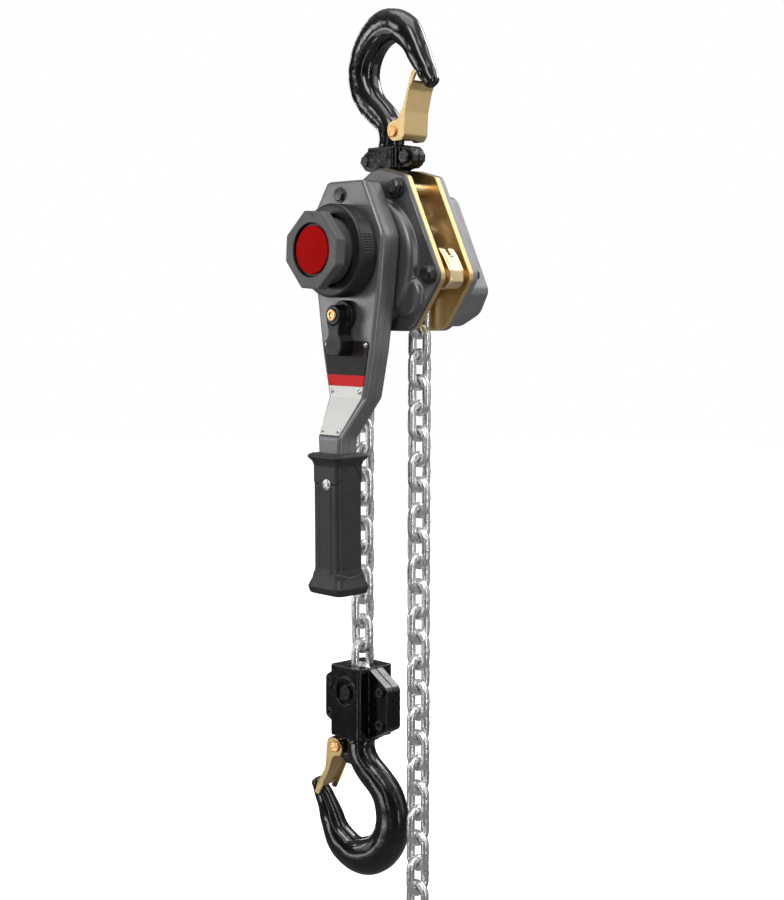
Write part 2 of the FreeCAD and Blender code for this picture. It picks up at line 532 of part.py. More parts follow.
# selector: outside lever, its shaft and the double pawl inside
sl = ycyl(0, SEL_Z, -65.0, LEVER_F - 0.3, 8.2)
arm = slab([(-7.0, SEL_Z), (7.0, SEL_Z), (6.2, -67.5), (9.2, -72.5), (9.2, -80.0), (5.4, -84.6), (-5.4, -84.6), (-9.2, -80.0), (-9.2, -72.5), (-6.2, -67.5)],
           [0, 0, 3, 1.5, 1.5, 1.5, 1.5, 1.5, 1.5, 3], -64.0, -51.2)
sl = sl.fuse([arm, ycyl(0, SEL_Z, -55.0, LEVER_F - 0.3, 12.0)]).fuse(ycyl(0, SEL_Z, LEVER_F - 0.3, LEVER_F + 3.4, 4.5))
sl = sl.cut(ycyl(0, SEL_Z, -70, -40, 2.52))
nodes["selector_lever"] = sl.removeSplitter()
nodes["selector_screw"] = ycyl(0, SEL_Z, -66.6, -65.0, 5.0).fuse(ycyl(0, SEL_Z, -65.0, -46.0, 2.5)).fuse(ycyl(0, SEL_Z, -46.0, -29.8, 3.5))
rho = 32.0
horn = []
for sgn in (-1, 1):
    a = math.radians(90 + sgn * 25)
    ux, uz = math.cos(a), math.sin(a)
    nx, nz = -uz, ux
    q = [(nx * 4.5, nz * 4.5), (ux * rho + nx * 0.9, uz * rho + nz * 0.9), (ux * rho - nx * 0.9, uz * rho - nz * 0.9), (-nx * 4.5, -nz * 4.5)]
    horn.append(slab([(x, SEL_Z + z) for x, z in q], 0, -43.0, -34.0))
dp = ycyl(0, SEL_Z, -43.0, -34.0, 8.0).fuse(horn)
dp = dp.fuse(slab([(-3.0, SEL_Z), (3.0, SEL_Z), (2.0, SEL_Z - 12.5), (-2.0, SEL_Z - 12.5)], 0, -43.0, -34.0))
nodes["selector_pawl"] = dp.cut(ycyl(0, SEL_Z, -60, -20, 3.52)).removeSplitter()
nodes["selector_detent"] = zcyl(0, -38.5, -75.9, -64.3, 3.0)
nodes["selector_spring"] = Part.makeCompound([Part.makeTorus(2.6, 0.45, V(0, -38.5, -77.0 - 2.0 * k), V(0, 0, 1)) for k in range(7)])

# plates riveted to the lever: one flat on the upper part, one that follows the step
pu = slab([(-27.6, -72.5), (27.6, -72.5), (20.6, -109.0), (-20.6, -109.0)], [3, 3, 0.5, 0.5], LEVER_F - 0.9, LEVER_F)
nodes["lever_plate_upper"] = pu
lowp = slab([(-20.4, -109.3), (20.4, -109.3), (18.4, -118.0), (11.6, -148.0), (-11.6, -148.0), (-18.4, -118.0)], 0, -90, 0)
f0 = LEVER_F
lowp = lowp.common(slab_yz([(f0 - 0.9, -100), (f0 - 0.9, -118.1), (f0 - CRANK - 0.9, -150.1), (f0 - CRANK - 0.9, -160), (f0 - CRANK, -160), (f0 - CRANK, -150.5), (f0, -118.5), (f0, -100)], -60, 60))
nodes["lever_plate_lower"] = lowp.Solids[0]
riv = []
for x, z in ((-23.2, -75.5), (23.2, -75.5), (-16.4, -113.5), (16.4, -113.5)):
    riv.append(Part.makeSphere(2.6, V(x, LEVER_F + 0.3, z)).common(ycyl(x, z, LEVER_F - 5, LEVER_F - 0.9, 2.4)))
yl = LEVER_F - CRANK * (145.0 - 118.5) / 32.0
for x in (-9.3, 9.3):
    riv.append(Part.makeSphere(2.6, V(x, yl - 0.1, -145.0)).cut(slab_yz([(f0 - 0.9, -100), (f0 - 0.9, -118.1), (f0 - CRANK - 0.9, -150.1), (f0 - CRANK - 0.9, -190), (0, -190), (0, -100)], -60, 60)))
nodes["lever_rivets"] = Part.makeCompound([r.Solids[0] for r in riv])

# ---------------------------------------------------------------- grip
gy = LEVER_F - CRANK + LEVER_D / 2


def rect_wire(z, a, b, r, dx=0.0, dy=0.0):
    x0, x1, y0, y1 = dx - a, dx + a, gy + dy - b, gy + dy + b
    k = r * (1 - math.sqrt(0.5))
    e = []
    L = lambda p, q: Part.LineSegment(V(p[0], p[1], z), V(q[0], q[1], z)).toShape()
    A = lambda p, q, s: Part.Arc(V(p[0], p[1], z), V(q[0], q[1], z), V(s[0], s[1], z)).toShape()
    e.append(L((x0 + r, y0), (x1 - r, y0)))
    e.append(A((x1 - r, y0), (x1 - k, y0 + k), (x1, y0 + r)))
    e.append(L((x1, y0 + r), (x1, y1 - r)))
    e.append(A((x1, y1 - r), (x1 - k, y1 - k), (x1 - r, y1)))
    e.append(L((x1 - r, y1), (x0 + r, y1)))
    e.append(A((x0 + r, y1), (x0 + k, y1 - k), (x0, y1 - r)))
    e.append(L((x0, y1 - r), (x0, y0 + r)))
    e.append(A((x0, y0 + r), (x0 + k, y0 + k), (x0 + r, y0)))
    return Part.Wire(e)


gw = [(-163.0, 19.0, 17.0, 5), (-166.0, 20.0, 18.2, 5), (-169.5, 17.4, 15.2, 5), (-173.0, 16.4, 14.2, 5)]
loft1 = Part.makeLoft([rect_wire(z, a, b, r) for z, a, b, r in gw], True, True)
loft2 = Part.makeLoft([rect_wire(-173.0, 16.4, 14.2, 5), rect_wire(-220.0, 16.2, 14.0, 5, 0.3), rect_wire(-256.0, 16.4, 14.0, 5, 0.8)], True, True)
loft3 = Part.makeLoft([rect_wire(-256.0, 16.4, 14.0, 5, 0.8), rect_wire(-264.0, 17.6, 15.0, 5, 0.9), rect_wire(-271.0, 20.4, 17.6, 5, 1.0), rect_wire(-277.0, 19.0, 16.4, 5, 1.0)], True, True)
grip = loft1.fuse([loft2, loft3]).removeSplitter()
tang_hole = slab([(-13.5, -150), (13.5, -150), (13.5, -214.1), (-13.5, -214.1)], 0, gy - 10.1, gy + 10.1)
grip = grip.cut(tang_hole)
nodes["grip"] = grip.cut(ycyl(2.0, -187.8, gy - 30, gy - 5, 3.02)).cut(ycyl(2.0, -187.8, gy - 30, gy - 13.9, 5.02))
nodes["grip_screw"] = ycyl(2.0, -187.8, gy - 15.4, gy - 13.9, 5.0).fuse(ycyl(2.0, -187.8, gy - 13.9, gy - 10.15, 3.0))

# ---------------------------------------------------------------- handwheel and knob
hw = revolve_y([(14.0, HW_BACK + 2.2), (14.0, HW_BACK), (HW_R, HW_BACK), (HW_R, HW_FRONT + 2.0), (HW_R - 1.6, HW_FRONT), (29.2, HW_FRONT), (29.2, HW_BACK - 3.0), (14.0, HW_BACK - 3.0)])
hw = hw.fuse(ycyl(0, 0, -56.5, HW_BACK + 2.0, 14.2))
ridge = []
for g0, cnt in [(45 * j - 1.7, 7) for j in range(8)]:
    for k in range(cnt):
        a = math.radians(g0 + k * 3.4)
        ridge.append(ycyl((HW_R + 0.15) * math.cos(a), (HW_R + 0.15) * math.sin(a), HW_FRONT + 3.2, HW_BACK - 1.2, 0.62))
hw = hw.cut(Part.makeCompound(ridge))
hw = hw.cut(ycyl(0, 0, -70, -40, 7.02))
nodes["handwheel"] = max(hw.Solids, key=lambda s: s.Volume)

oct_pts = [(-KNOB_C, KNOB_A), (KNOB_C, KNOB_A), (KNOB_A, KNOB_C), (KNOB_A, -KNOB_C), (KNOB_C, -KNOB_A), (-KNOB_C, -KNOB_A), (-KNOB_A, -KNOB_C), (-KNOB_A, KNOB_C)]
kn = slab(oct_pts, 1.0, KNOB_F, KNOB_B)
kn = try_fillet(kn, 0.9, on_plane_y(KNOB_F))
kn = kn.fuse(ycyl(0, 0, KNOB_B, -58.0, 26.5))
kn = kn.cut(ycyl(0, 0, KNOB_F - 1, KNOB_F + 2.2, 21.4))
kn = kn.cut(ycyl(0, 0, KNOB_F, -66.0, 18.0)).cut(ycyl(0, 0, -90, -50, 7.05))
kn = kn.cut(box(-0.5, 0.5, KNOB_F - 0.1, KNOB_F + 0.5, 26.5, 29.8))
kn.rotate(V(0, 0, 0), V(0, 1, 0), KNOB_TURN)
nodes["knob"] = kn.removeSplitter()
disc = revolve_y([(0, KNOB_F + 0.9), (18.6, KNOB_F + 0.9), (19.6, KNOB_F + 1.3), (19.6, KNOB_F + 2.2), (0, KNOB_F + 2.2)])
nodes["knob_cap"] = disc
nodes["shaft_nut"] = hexagon(0, 0, -79.0, -73.2, 17.0, 7).cut(ycyl(0, 0, -90, -60, 5.02))

# ---------------------------------------------------------------- chain
step = [2 * math.degrees(math.asin((HALF_FLAT if k % 2 else HALF_UP) / SHEAVE_JOINT_R)) for k in range(5)]
at = FIRST_JOINT
wrap = []
for k in range(5):
    mid_a = math.radians(at + step[k] / 2)
    rc = SHEAVE_JOINT_R * math.cos(math.radians(step[k] / 2))
    wrap.append(link(rc * math.cos(mid_a), rc * math.sin(mid_a), 0, k % 2 == 1, -math.degrees(mid_a)))
    at += step[k]
nodes["chain_on_sheave"] = Part.makeCompound(wrap)
zl0 = 5.60 - 14.0
left = [link(-CHAIN_X, zl0 - CHAIN_P * k, 0, k % 2 == 0) for k in range(N_LOAD)]
nodes["load_chain_upper"] = Part.makeCompound(left[:N_LOAD_UP])
nodes["load_chain_lower"] = Part.makeCompound(left[N_LOAD_UP:])
zr0 = 2.05 - 14.0
right = [link(CHAIN_X, zr0 - CHAIN_P * k, 0, k % 2 == 0) for k in range(N_FREE)]
nodes["free_chain_upper"] = Part.makeCompound(right[:N_FREE_UP])
nodes["free_chain_lower"] = Part.makeCompound(right[N_FREE_UP:])
z_last = zr0 - CHAIN_P * (N_FREE - 1)
ring_z = z_last - CHAIN_P / 2 + 3.1 - 14.0
nodes["chain_end_ring"] = Part.makeTorus(14.0, 3.0, V(CHAIN_X, 0, ring_z), V(0, 1, 0))

# ---------------------------------------------------------------- bottom block
pin_z = zl0 - CHAIN_P * (N_LOAD - 1) - CHAIN_P / 2 + 4.02
blk = box(BLK_X - 20.0, BLK_X + 16.8, -BLK_Y, BLK_Y, BLK_BOT, BLK_TOP)
blk = try_fillet(blk, 3.0, lambda e: abs(e.BoundBox.XLength) < 0.01 and abs(e.BoundBox.YLength) < 0.01)
fx = FLG_X
fl = slab([(BLK_X - 16.5, BLK_TOP - 0.4), (BLK_X + 15.5, BLK_TOP - 0.4), (BLK_X + fx, -364.6), (BLK_X + fx, -399.5), (BLK_X + fx - 21, BLK_BOT + 0.4), (BLK_X - fx + 21, BLK_BOT + 0.4), (BLK_X - fx, -399.5), (BLK_X - fx, -364.6)],
          [2, 2, 5, 5, 3, 3, 5, 5], -FLG_Y, FLG_Y)
neck_b = zcyl(BLK_X, 0, BLK_BOT - 2.5, BLK_BOT + 5, 15.0)
bb = blk.fuse([fl, ycyl(BLK_X, pin_z, -BLK_Y - 1.5, 0, 13.6), ycyl(BLK_X, pin_z, 0, BLK_Y + 2.0, 11.0), neck_b])
bb = bb.cut(ycyl(BLK_X, pin_z, -BLK_Y - 4, -BLK_Y + 2.0, 10.6))                         # recess for the head of the pin
bb = bb.cut(box(BLK_X - 13.0, BLK_X + 13.0, -5.2, 5.2, pin_z - 12.5, BLK_TOP + 10))     # room for the upright end link
bb = bb.cut(box(BLK_X - 5.2, BLK_X + 5.2, -13.0, 13.0, pin_z + 7.2, BLK_TOP + 10))      # room for the flat link above it
bb = bb.cut(ycyl(BLK_X, pin_z, -40, 40, 4.03))
bb = bb.cut(revolve_z([(0, BLK_BOT - 5), (8.12, BLK_BOT - 5), (8.12, BLK_BOT + 8.0), (12.2, BLK_BOT + 8.0), (12.2, BLK_BOT + 16.4), (0, BLK_BOT + 16.4)], BLK_X, 0))
for sx in (-31.2, 31.2):
    for z in (-368.5, -396.0):
        bb = bb.cut(ycyl(BLK_X + sx, z, -20, 20, 2.52))
bb = bb.removeSplitter()
nodes["block_front"] = max(bb.common(box(-200, 200, -60, 0, -500, -300)).Solids, key=lambda s: s.Volume)
nodes["block_rear"] = max(bb.common(box(-200, 200, 0, 60, -500, -300)).Solids, key=lambda s: s.Volume)
bbolts = []
for sx in (-31.2, 31.2):
    for z in (-368.5, -396.0):
        x = BLK_X + sx
        b = ycyl(x, z, -FLG_Y - 2.6, -FLG_Y, 4.3).cut(hexagon(x, z, -FLG_Y - 3, -FLG_Y - 1.0, 4.0))
        b = b.fuse([ycyl(x, z, -FLG_Y, FLG_Y + 2.4, 2.5)])
        b = b.fuse(hexagon(x, z, FLG_Y, FLG_Y + 2.2, 8.0, 15))
        bbolts.append(b.removeSplitter())
nodes["block_bolts"] = Part.makeCompound(bbolts)
nodes["chain_pin"] = ycyl(BLK_X, pin_z, -BLK_Y, BLK_Y + 2.6, 4.0).fuse(ycyl(BLK_X, pin_z, -BLK_Y - 1.2, -BLK_Y + 2.0, 6.2))

# bottom hook, drawn in the XZ plane about its shank at x = 0 with its throat to -X, then turned
bh_path = [(-0.4, -411.0), (-1.6, -421.0), (3.6, -434.6), (16.0, -447.0), (26.3, -458.8), (30.8, -473.0),
           (29.8, -492.0), (22.4, -505.6), (9.0, -514.6), (-6.0, -515.9), (-18.8, -509.4), (-27.3, -499.0),
           (-32.6, -487.2), (-37.0, -477.0), (-42.2, -467.6), (-46.8, -460.4), (-49.6, -456.6)]
bh_w = [(0, 23, 23), (0.08, 23, 23), (0.2, 25, 22), (0.34, 28, 23), (0.47, 31, 24), (0.58, 32.5, 24), (0.7, 28, 22.5),
        (0.82, 21, 19), (0.92, 16, 15), (0.985, 12, 11.5), (1.0, 8, 8)]
bh = spline_body(bh_path, bh_w, 34)
bsh = revolve_z([(0, -421), (11.3, -421), (11.3, BLK_BOT - 3.4), (8.0, BLK_BOT - 3.4), (8.0, BLK_BOT + 8.3), (12.0, BLK_BOT + 8.3), (12.0, BLK_BOT + 14.6), (0, BLK_BOT + 14.6)])
bcut = box(-40, 40, -40, 40, BLK_BOT - 3.4, BLK_BOT + 60)
bh = bh.cut(bcut)
PBX, PBZ = -19.0, -421.6
blug = slab([(-2, -416.5), (-17, -416.0), (-23.6, -417.6), (-23.6, -426.0), (-14, -436.5), (0, -438)], 3.0, -6.2, 6.2)
bhook = bh.fuse([bsh, blug]).cut(ycyl(PBX, PBZ, -20, 20, 3.03)).removeSplitter()

bl_out = [(PBX + 1.5, PBZ + 7.2), (PBX - 8.4, PBZ + 7.2), (-28.6, -424.0), (-29.8, -441.0), (-38.4, -456.6), (-41.6, -465.4), (-36.8, -466.6),
          (-25.6, -442.5), (-21.8, -430.6), (-13.0, -429.2), (PBX + 7.0, PBZ)]
bl_rad = [6, 4, 6, 14, 8, 1.6, 1.6, 12, 5, 5, 6]
blo = slab(bl_out, bl_rad, -13.2, 13.2)
bli = slab([(5, -405), (PBX - 5.6, -405), (-26.1, -424.0), (-27.2, -441.6), (-36.0, -457.6), (-38.0, -480), (0, -480), (5, -440)], 0, -11.0, 11.0)
bl = blo.cut(bli).cut(ycyl(PBX, PBZ, -20, 20, 3.05))
bl = bl.cut(slab([(-45.8, -452.9), (-41.3, -455.8), (-34.6, -462.4), (-28.0, -471.0), (-28, -490), (-80, -490), (-80, -452.9)], 0, -11.0, 11.0))
bl = max(bl.Solids, key=lambda s: s.Volume)
bpin = ycyl(PBX, PBZ, -13.4, 13.4, 3.0).fuse([ycyl(PBX, PBZ, -15.2, -13.4, 4.6), ycyl(PBX, PBZ, 13.4, 15.2, 4.6)])
bspr = Part.makeCompound([Part.makeTorus(4.2, 0.42, V(PBX, 8.65 + 0.9 * k, PBZ), V(0, 1, 0)) for k in range(3)])
for n, s in (("bottom_hook", bhook), ("bottom_latch", bl), ("bottom_latch_pin", bpin), ("bottom_latch_spring", bspr)):
    s = s.copy()
    s.rotate(V(0, 0, 0), V(0, 0, 1), BH_TURN)
    s.translate(V(BLK_X, 0, 0))
    nodes[n] = s

# ---------------------------------------------------------------- write
for n, s in nodes.items():
    s = s.copy()
    s.translate(V(0, 0, -SEAT_Z))
    ok = s.isValid()
    bbx = s.BoundBox
    print("%-22s %2d solid(s) %9.1f mm3 %s  x %.1f..%.1f y %.1f..%.1f z %.1f..%.1f" % (
        n, len(s.Solids), s.Volume, "ok" if ok else "INVALID", bbx.XMin, bbx.XMax, bbx.YMin, bbx.YMax, bbx.ZMin, bbx.ZMax))
    s.exportStep("parts/%s.step" % n)
print(len(nodes), "nodes")
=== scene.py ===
import bpy
import bmesh
import math
import json
import numpy as np
from mathutils import Vector, Matrix, noise


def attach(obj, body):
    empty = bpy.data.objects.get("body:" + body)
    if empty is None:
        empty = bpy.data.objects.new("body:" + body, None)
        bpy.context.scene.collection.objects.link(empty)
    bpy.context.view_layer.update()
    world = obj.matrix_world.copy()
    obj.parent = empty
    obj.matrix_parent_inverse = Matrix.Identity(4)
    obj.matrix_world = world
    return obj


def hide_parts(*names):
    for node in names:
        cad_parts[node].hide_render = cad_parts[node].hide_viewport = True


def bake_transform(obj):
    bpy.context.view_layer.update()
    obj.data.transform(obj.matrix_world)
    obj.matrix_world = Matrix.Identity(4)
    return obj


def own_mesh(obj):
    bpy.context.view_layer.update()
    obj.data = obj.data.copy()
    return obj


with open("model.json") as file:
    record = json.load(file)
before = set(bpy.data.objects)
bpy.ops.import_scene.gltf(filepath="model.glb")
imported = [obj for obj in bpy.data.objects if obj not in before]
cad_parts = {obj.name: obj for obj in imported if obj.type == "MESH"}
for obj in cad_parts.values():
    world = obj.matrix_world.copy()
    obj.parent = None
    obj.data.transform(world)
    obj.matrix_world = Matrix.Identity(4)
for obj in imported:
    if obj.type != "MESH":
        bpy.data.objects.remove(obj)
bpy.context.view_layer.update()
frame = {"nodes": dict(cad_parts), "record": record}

SEAT = 172.15                       # mm, the sheave axis below the row origin
COL = bpy.context.scene.collection
BODY_OF = {n: b for b, ns in frame["record"]["behaviour"]["bodies"].items() for n in ns}
DONE = set()


# ------------------------------------------------------------------ materials
# All pattern nodes read object coordinates, in metres.
class Mat:
    def __init__(self, name, base, metallic=0.0, rough=0.4, spec=0.5, coat=0.0, coat_rough=0.05, aniso=0.0):
        m = bpy.data.materials.new(name)
        m.use_nodes = True
        self.m = m
        self.nt = m.node_tree
        self.n = self.nt.nodes
        self.b = self.n["Principled BSDF"]
        self.b.inputs["Base Color"].default_value = (*base, 1)
        self.b.inputs["Metallic"].default_value = metallic
        self.b.inputs["Roughness"].default_value = rough
        self.b.inputs["Specular IOR Level"].default_value = spec
        self.b.inputs["Coat Weight"].default_value = coat
        self.b.inputs["Coat Roughness"].default_value = coat_rough
        self.b.inputs["Anisotropic"].default_value = aniso
        self.base = base
        self.tc = self.n.new("ShaderNodeTexCoord").outputs["Object"]
        self.col = None
        self.norm = None

    def link(self, a, b):
        self.nt.links.new(a, b)

    def coords(self, stretch=(1, 1, 1)):
        mp = self.n.new("ShaderNodeMapping")
        mp.inputs["Scale"].default_value = stretch
        self.link(self.tc, mp.inputs["Vector"])
        return mp.outputs["Vector"]

    def noise(self, scale, detail=3.0, rough=0.55, stretch=None, distort=0.0, seed=0.0):
        t = self.n.new("ShaderNodeTexNoise")
        t.noise_dimensions = "4D"
        t.inputs["W"].default_value = seed
        t.inputs["Scale"].default_value = scale
        t.inputs["Detail"].default_value = detail
        t.inputs["Roughness"].default_value = rough
        t.inputs["Distortion"].default_value = distort
        self.link(self.coords(stretch) if stretch else self.tc, t.inputs["Vector"])
        return t.outputs["Fac"]

    def cells(self, scale, feature="F1", rand=1.0):
        t = self.n.new("ShaderNodeTexVoronoi")
        t.feature = feature
        t.inputs["Scale"].default_value = scale
        t.inputs["Randomness"].default_value = rand
        self.link(self.tc, t.inputs["Vector"])
        return t.outputs["Distance"]

    def ramp(self, fac, stops):
        r = self.n.new("ShaderNodeValToRGB")
        e = r.color_ramp.elements
        while len(e) < len(stops):
            e.new(0.5)
        for k, (p, c) in enumerate(stops):
            e[k].position = p
            e[k].color = (*c, 1)
        self.link(fac, r.inputs["Fac"])
        return r.outputs["Color"]

    def span(self, fac, lo, hi, a=0.3, b=0.7):
        r = self.n.new("ShaderNodeMapRange")
        r.inputs["From Min"].default_value = a
        r.inputs["From Max"].default_value = b
        r.inputs["To Min"].default_value = lo
        r.inputs["To Max"].default_value = hi
        self.link(fac, r.inputs["Value"])
        return r.outputs["Result"]

    def math(self, op, a, b):
        r = self.n.new("ShaderNodeMath")
        r.operation = op
        for k, v in enumerate((a, b)):
            if isinstance(v, (int, float)):
                r.inputs[k].default_value = v
            else:
                self.link(v, r.inputs[k])
        return r.outputs[0]

    def attr(self, name):
        a = self.n.new("ShaderNodeAttribute")
        a.attribute_name = name
        return a.outputs["Fac"]

    def axis(self, k):
        s = self.n.new("ShaderNodeSeparateXYZ")
        self.link(self.tc, s.inputs[0])
        return s.outputs[k]

    def edge(self):
        g = self.n.new("ShaderNodeNewGeometry")
        return g.outputs["Pointiness"]

    def mix(self, fac, a, b):
        x = self.n.new("ShaderNodeMix")
        x.data_type = "RGBA"
        if isinstance(fac, (int, float)):
            x.inputs[0].default_value = fac
        else:
            self.link(fac, x.inputs[0])
        for k, v in ((6, a), (7, b)):
            if isinstance(v, tuple):
                x.inputs[k].default_value = (*v, 1)
            else:
                self.link(v, x.inputs[k])
        return x.outputs[2]

    def set_color(self, c):
        self.link(c, self.b.inputs["Base Color"])

    def set_rough(self, c):
        self.link(c, self.b.inputs["Roughness"])

    def bump(self, height, dist, strength=1.0):
        b = self.n.new("ShaderNodeBump")
        b.inputs["Distance"].default_value = dist
        if isinstance(strength, (int, float)):
            b.inputs["Strength"].default_value = strength
        else:
            self.link(strength, b.inputs["Strength"])
        self.link(height, b.inputs["Height"])
        if self.norm is not None:
            self.link(self.norm, b.inputs["Normal"])
        self.norm = b.outputs["Normal"]
        self.link(self.norm, self.b.inputs["Normal"])


def paint(name, base, rough, spread=0.06, tone=0.12, peel=0.00003, coat=0.0, spec=0.5, metallic=0.0):
    """Enamel: slow tone changes, a little orange peel and faint dust."""
    m = Mat(name, base, metallic, rough, spec, coat, 0.12)
    lo = tuple(c * (1 - tone) for c in base)
    hi = tuple(min(1, c * (1 + tone)) for c in base)
    c = m.ramp(m.noise(28, 4, 0.6), [(0.3, lo), (0.7, hi)])
    dust = m.span(m.noise(900, 2, 0.5, seed=3.0), 0, 1, 0.68, 0.78)
    c = m.mix(m.math("MULTIPLY", dust, 0.12), c, tuple(min(1, b * 1.5 + 0.05) for b in base))
    m.set_color(c)
    m.set_rough(m.span(m.noise(55, 5, 0.65, seed=1.0), rough - spread, rough + spread))
    m.bump(m.noise(650, 2, 0.5), peel)
    return m.m


def rough_cast(name, base, rough, grain, depth, coat=0.0, spec=0.5, use_attr=False):
    """Enamel over a rough forging or casting."""
    m = Mat(name, base, 0.0, rough, spec, coat, 0.08)
    c = m.ramp(m.noise(60, 4, 0.6), [(0.3, tuple(c * 0.6 for c in base)), (0.7, tuple(c * 1.7 for c in base))])
    m.set_color(c)
    m.set_rough(m.span(m.noise(140, 4, 0.6, seed=2.0), rough - 0.07, rough + 0.12))
    s = 1.0
    if use_attr:
        s = m.span(m.attr("forge"), 0.10, 1.0, 0.0, 1.0)
    m.bump(m.noise(grain * 0.35, 3, 0.6, seed=5.0), depth * 2.8, s)
    m.bump(m.noise(grain, 4, 0.7), depth, s)
    return m.m


MATS = {}


def zinc_yellow():
    m = Mat("yellow_zinc", (0.80, 0.58, 0.27), 1.0, 0.36)
    a = m.ramp(m.noise(14, 2, 0.5, distort=0.5), [(0.25, (0.74, 0.52, 0.23)), (0.5, (0.82, 0.60, 0.28)), (0.75, (0.80, 0.61, 0.33))])
    b = m.ramp(m.noise(60, 3, 0.55, seed=4.0), [(0.35, (0.72, 0.50, 0.22)), (0.65, (0.86, 0.66, 0.34))])
    # painted sheen: where the surface is seen at a glancing angle, the colour moves a quarter of the way to a darker
    # orange, standing in for the chromate film's iridescence
    painted_sheen_weight = m.n.new("ShaderNodeLayerWeight")
    painted_sheen_weight.inputs["Blend"].default_value = 0.35
    c = m.mix(0.25, a, b)
    c = m.mix(m.math("MULTIPLY", painted_sheen_weight.outputs["Facing"], 0.25), c, (0.76, 0.46, 0.22))
    m.set_color(c)
    m.set_rough(m.span(m.noise(90, 4, 0.6, seed=9.0), 0.34, 0.44))
    m.bump(m.noise(420, 3, 0.6), 0.000012)
    m.bump(m.noise(260, 3, 0.6, stretch=(1, 1, 0.08), seed=7.0), 0.00001)
    return m.m


def zinc_guide():
    m = Mat("yellow_zinc_cast", (0.86, 0.64, 0.34), 1.0, 0.34)
    c = m.ramp(m.noise(60, 3, 0.55, distort=0.4), [(0.3, (0.78, 0.54, 0.27)), (0.6, (0.96, 0.78, 0.50))])
    m.set_color(c)
    m.set_rough(m.span(m.noise(200, 4, 0.6, seed=9.0), 0.26, 0.42))
    m.bump(m.noise(700, 3, 0.6), 0.00003)
    m.bump(m.noise(200, 3, 0.6, seed=2.0), 0.00007)
    return m.m


def zinc_chain():
    m = Mat("chain_zinc", (0.66, 0.67, 0.69), 1.0, 0.3)
    c = m.ramp(m.noise(150, 4, 0.6), [(0.3, (0.80, 0.81, 0.82)), (0.7, (0.99, 0.99, 1.0))])
    grime = m.span(m.noise(420, 3, 0.6, seed=6.0), 0, 1, 0.60, 0.72)
    c = m.mix(m.math("MULTIPLY", grime, 0.35), c, (0.25, 0.25, 0.27))
    m.set_color(c)
    m.set_rough(m.span(m.noise(350, 4, 0.6, seed=2.0), 0.22, 0.40))
    m.bump(m.noise(330, 3, 0.6, seed=1.0), 0.00012)
    m.bump(m.noise(1100, 3, 0.7), 0.00004)
    return m.m


def steel(name, base, rough, fine=300, depth=0.00003, stretch=None, spread=0.08):
    m = Mat(name, base, 1.0, rough)
    m.set_color(m.ramp(m.noise(90, 4, 0.6), [(0.3, tuple(c * 0.78 for c in base)), (0.7, tuple(min(1, c * 1.15) for c in base))]))
    m.set_rough(m.span(m.noise(200, 4, 0.6, seed=2.0), rough - spread, rough + spread))
    m.bump(m.noise(fine, 3, 0.6, stretch=stretch), depth)
    return m.m


def banded_plate():
    """Printed plate: black, with a red band along its lower edge."""
    m = Mat("plate_red_black", (0.02, 0.02, 0.022), 0.0, 0.3, 0.16, 0.0, 0.15)
    z = m.axis(2)
    band = m.span(z, 1.0, 0.0, (-100.2 - SEAT) / 1000 - 0.00006, (-100.2 - SEAT) / 1000 + 0.00006)
    blk = m.ramp(m.noise(70, 4, 0.6), [(0.3, (0.014, 0.011, 0.010)), (0.7, (0.032, 0.026, 0.024))])
    red = m.ramp(m.noise(70, 4, 0.6, seed=3.0), [(0.3, (0.78, 0.006, 0.009)), (0.7, (0.95, 0.010, 0.013))])
    m.set_color(m.mix(band, blk, red))
    m.set_rough(m.span(m.noise(160, 4, 0.6, seed=5.0), 0.22, 0.40))
    m.bump(m.noise(900, 2, 0.5), 0.000012)
    return m.m


def silver_plate():
    m = Mat("plate_silver", (0.86, 0.85, 0.82), 0.15, 0.42)
    m.set_color(m.ramp(m.noise(60, 4, 0.6), [(0.3, (0.88, 0.865, 0.82)), (0.7, (0.97, 0.96, 0.92))]))
    m.set_rough(m.span(m.noise(240, 4, 0.6, stretch=(0.06, 1, 1), seed=5.0), 0.28, 0.48))
    m.bump(m.noise(1500, 2, 0.5, stretch=(0.05, 1, 1)), 0.000015)
    return m.m


def rubber(name, base, rough):
    m = Mat(name, base, 0.0, rough, 0.45)
    m.set_color(m.ramp(m.noise(45, 4, 0.6), [(0.3, tuple(c * 0.8 for c in base)), (0.7, tuple(c * 1.25 for c in base))]))
    m.set_rough(m.span(m.noise(90, 5, 0.65, seed=4.0), rough - 0.06, rough + 0.08))
    m.bump(m.noise(1600, 3, 0.6), 0.00004)
    return m.m


def red_disc():
    m = Mat("cap_red", (0.66, 0.004, 0.008), 0.0, 0.45, 0.04, 0.0, 0.1)
    m.set_color(m.ramp(m.noise(40, 4, 0.6), [(0.3, (0.42, 0.0008, 0.0008)), (0.7, (0.54, 0.0012, 0.0012))]))
    m.set_rough(m.span(m.noise(150, 4, 0.6, seed=5.0), 0.40, 0.55))
    m.bump(m.noise(1200, 2, 0.5), 0.000012)
    return m.m


MATS["black_enamel"] = rough_cast("black_enamel", (0.004, 0.004, 0.0042), 0.14, 420, 0.00018, 0.5, 0.5, True)
MATS["black_cast"] = rough_cast("black_cast", (0.0025, 0.0025, 0.0027), 0.14, 420, 0.00008, 0.2)
MATS["yellow_zinc"] = zinc_yellow()
MATS["guide"] = zinc_guide()
MATS["body_grey"] = paint("body_grey", (0.20, 0.20, 0.205), 0.34, peel=0.00002, metallic=0.55)
MATS["cover_grey"] = paint("cover_grey", (0.27, 0.265, 0.285), 0.34, metallic=0.45)
MATS["brake_cover_grey"] = paint("brake_cover_grey", (0.13, 0.13, 0.135), 0.32, metallic=0.6)
MATS["chain_zinc"] = zinc_chain()
MATS["bright_steel"] = steel("bright_steel", (0.80, 0.80, 0.80), 0.28)
MATS["gear_steel"] = steel("gear_steel", (0.34, 0.34, 0.36), 0.34)
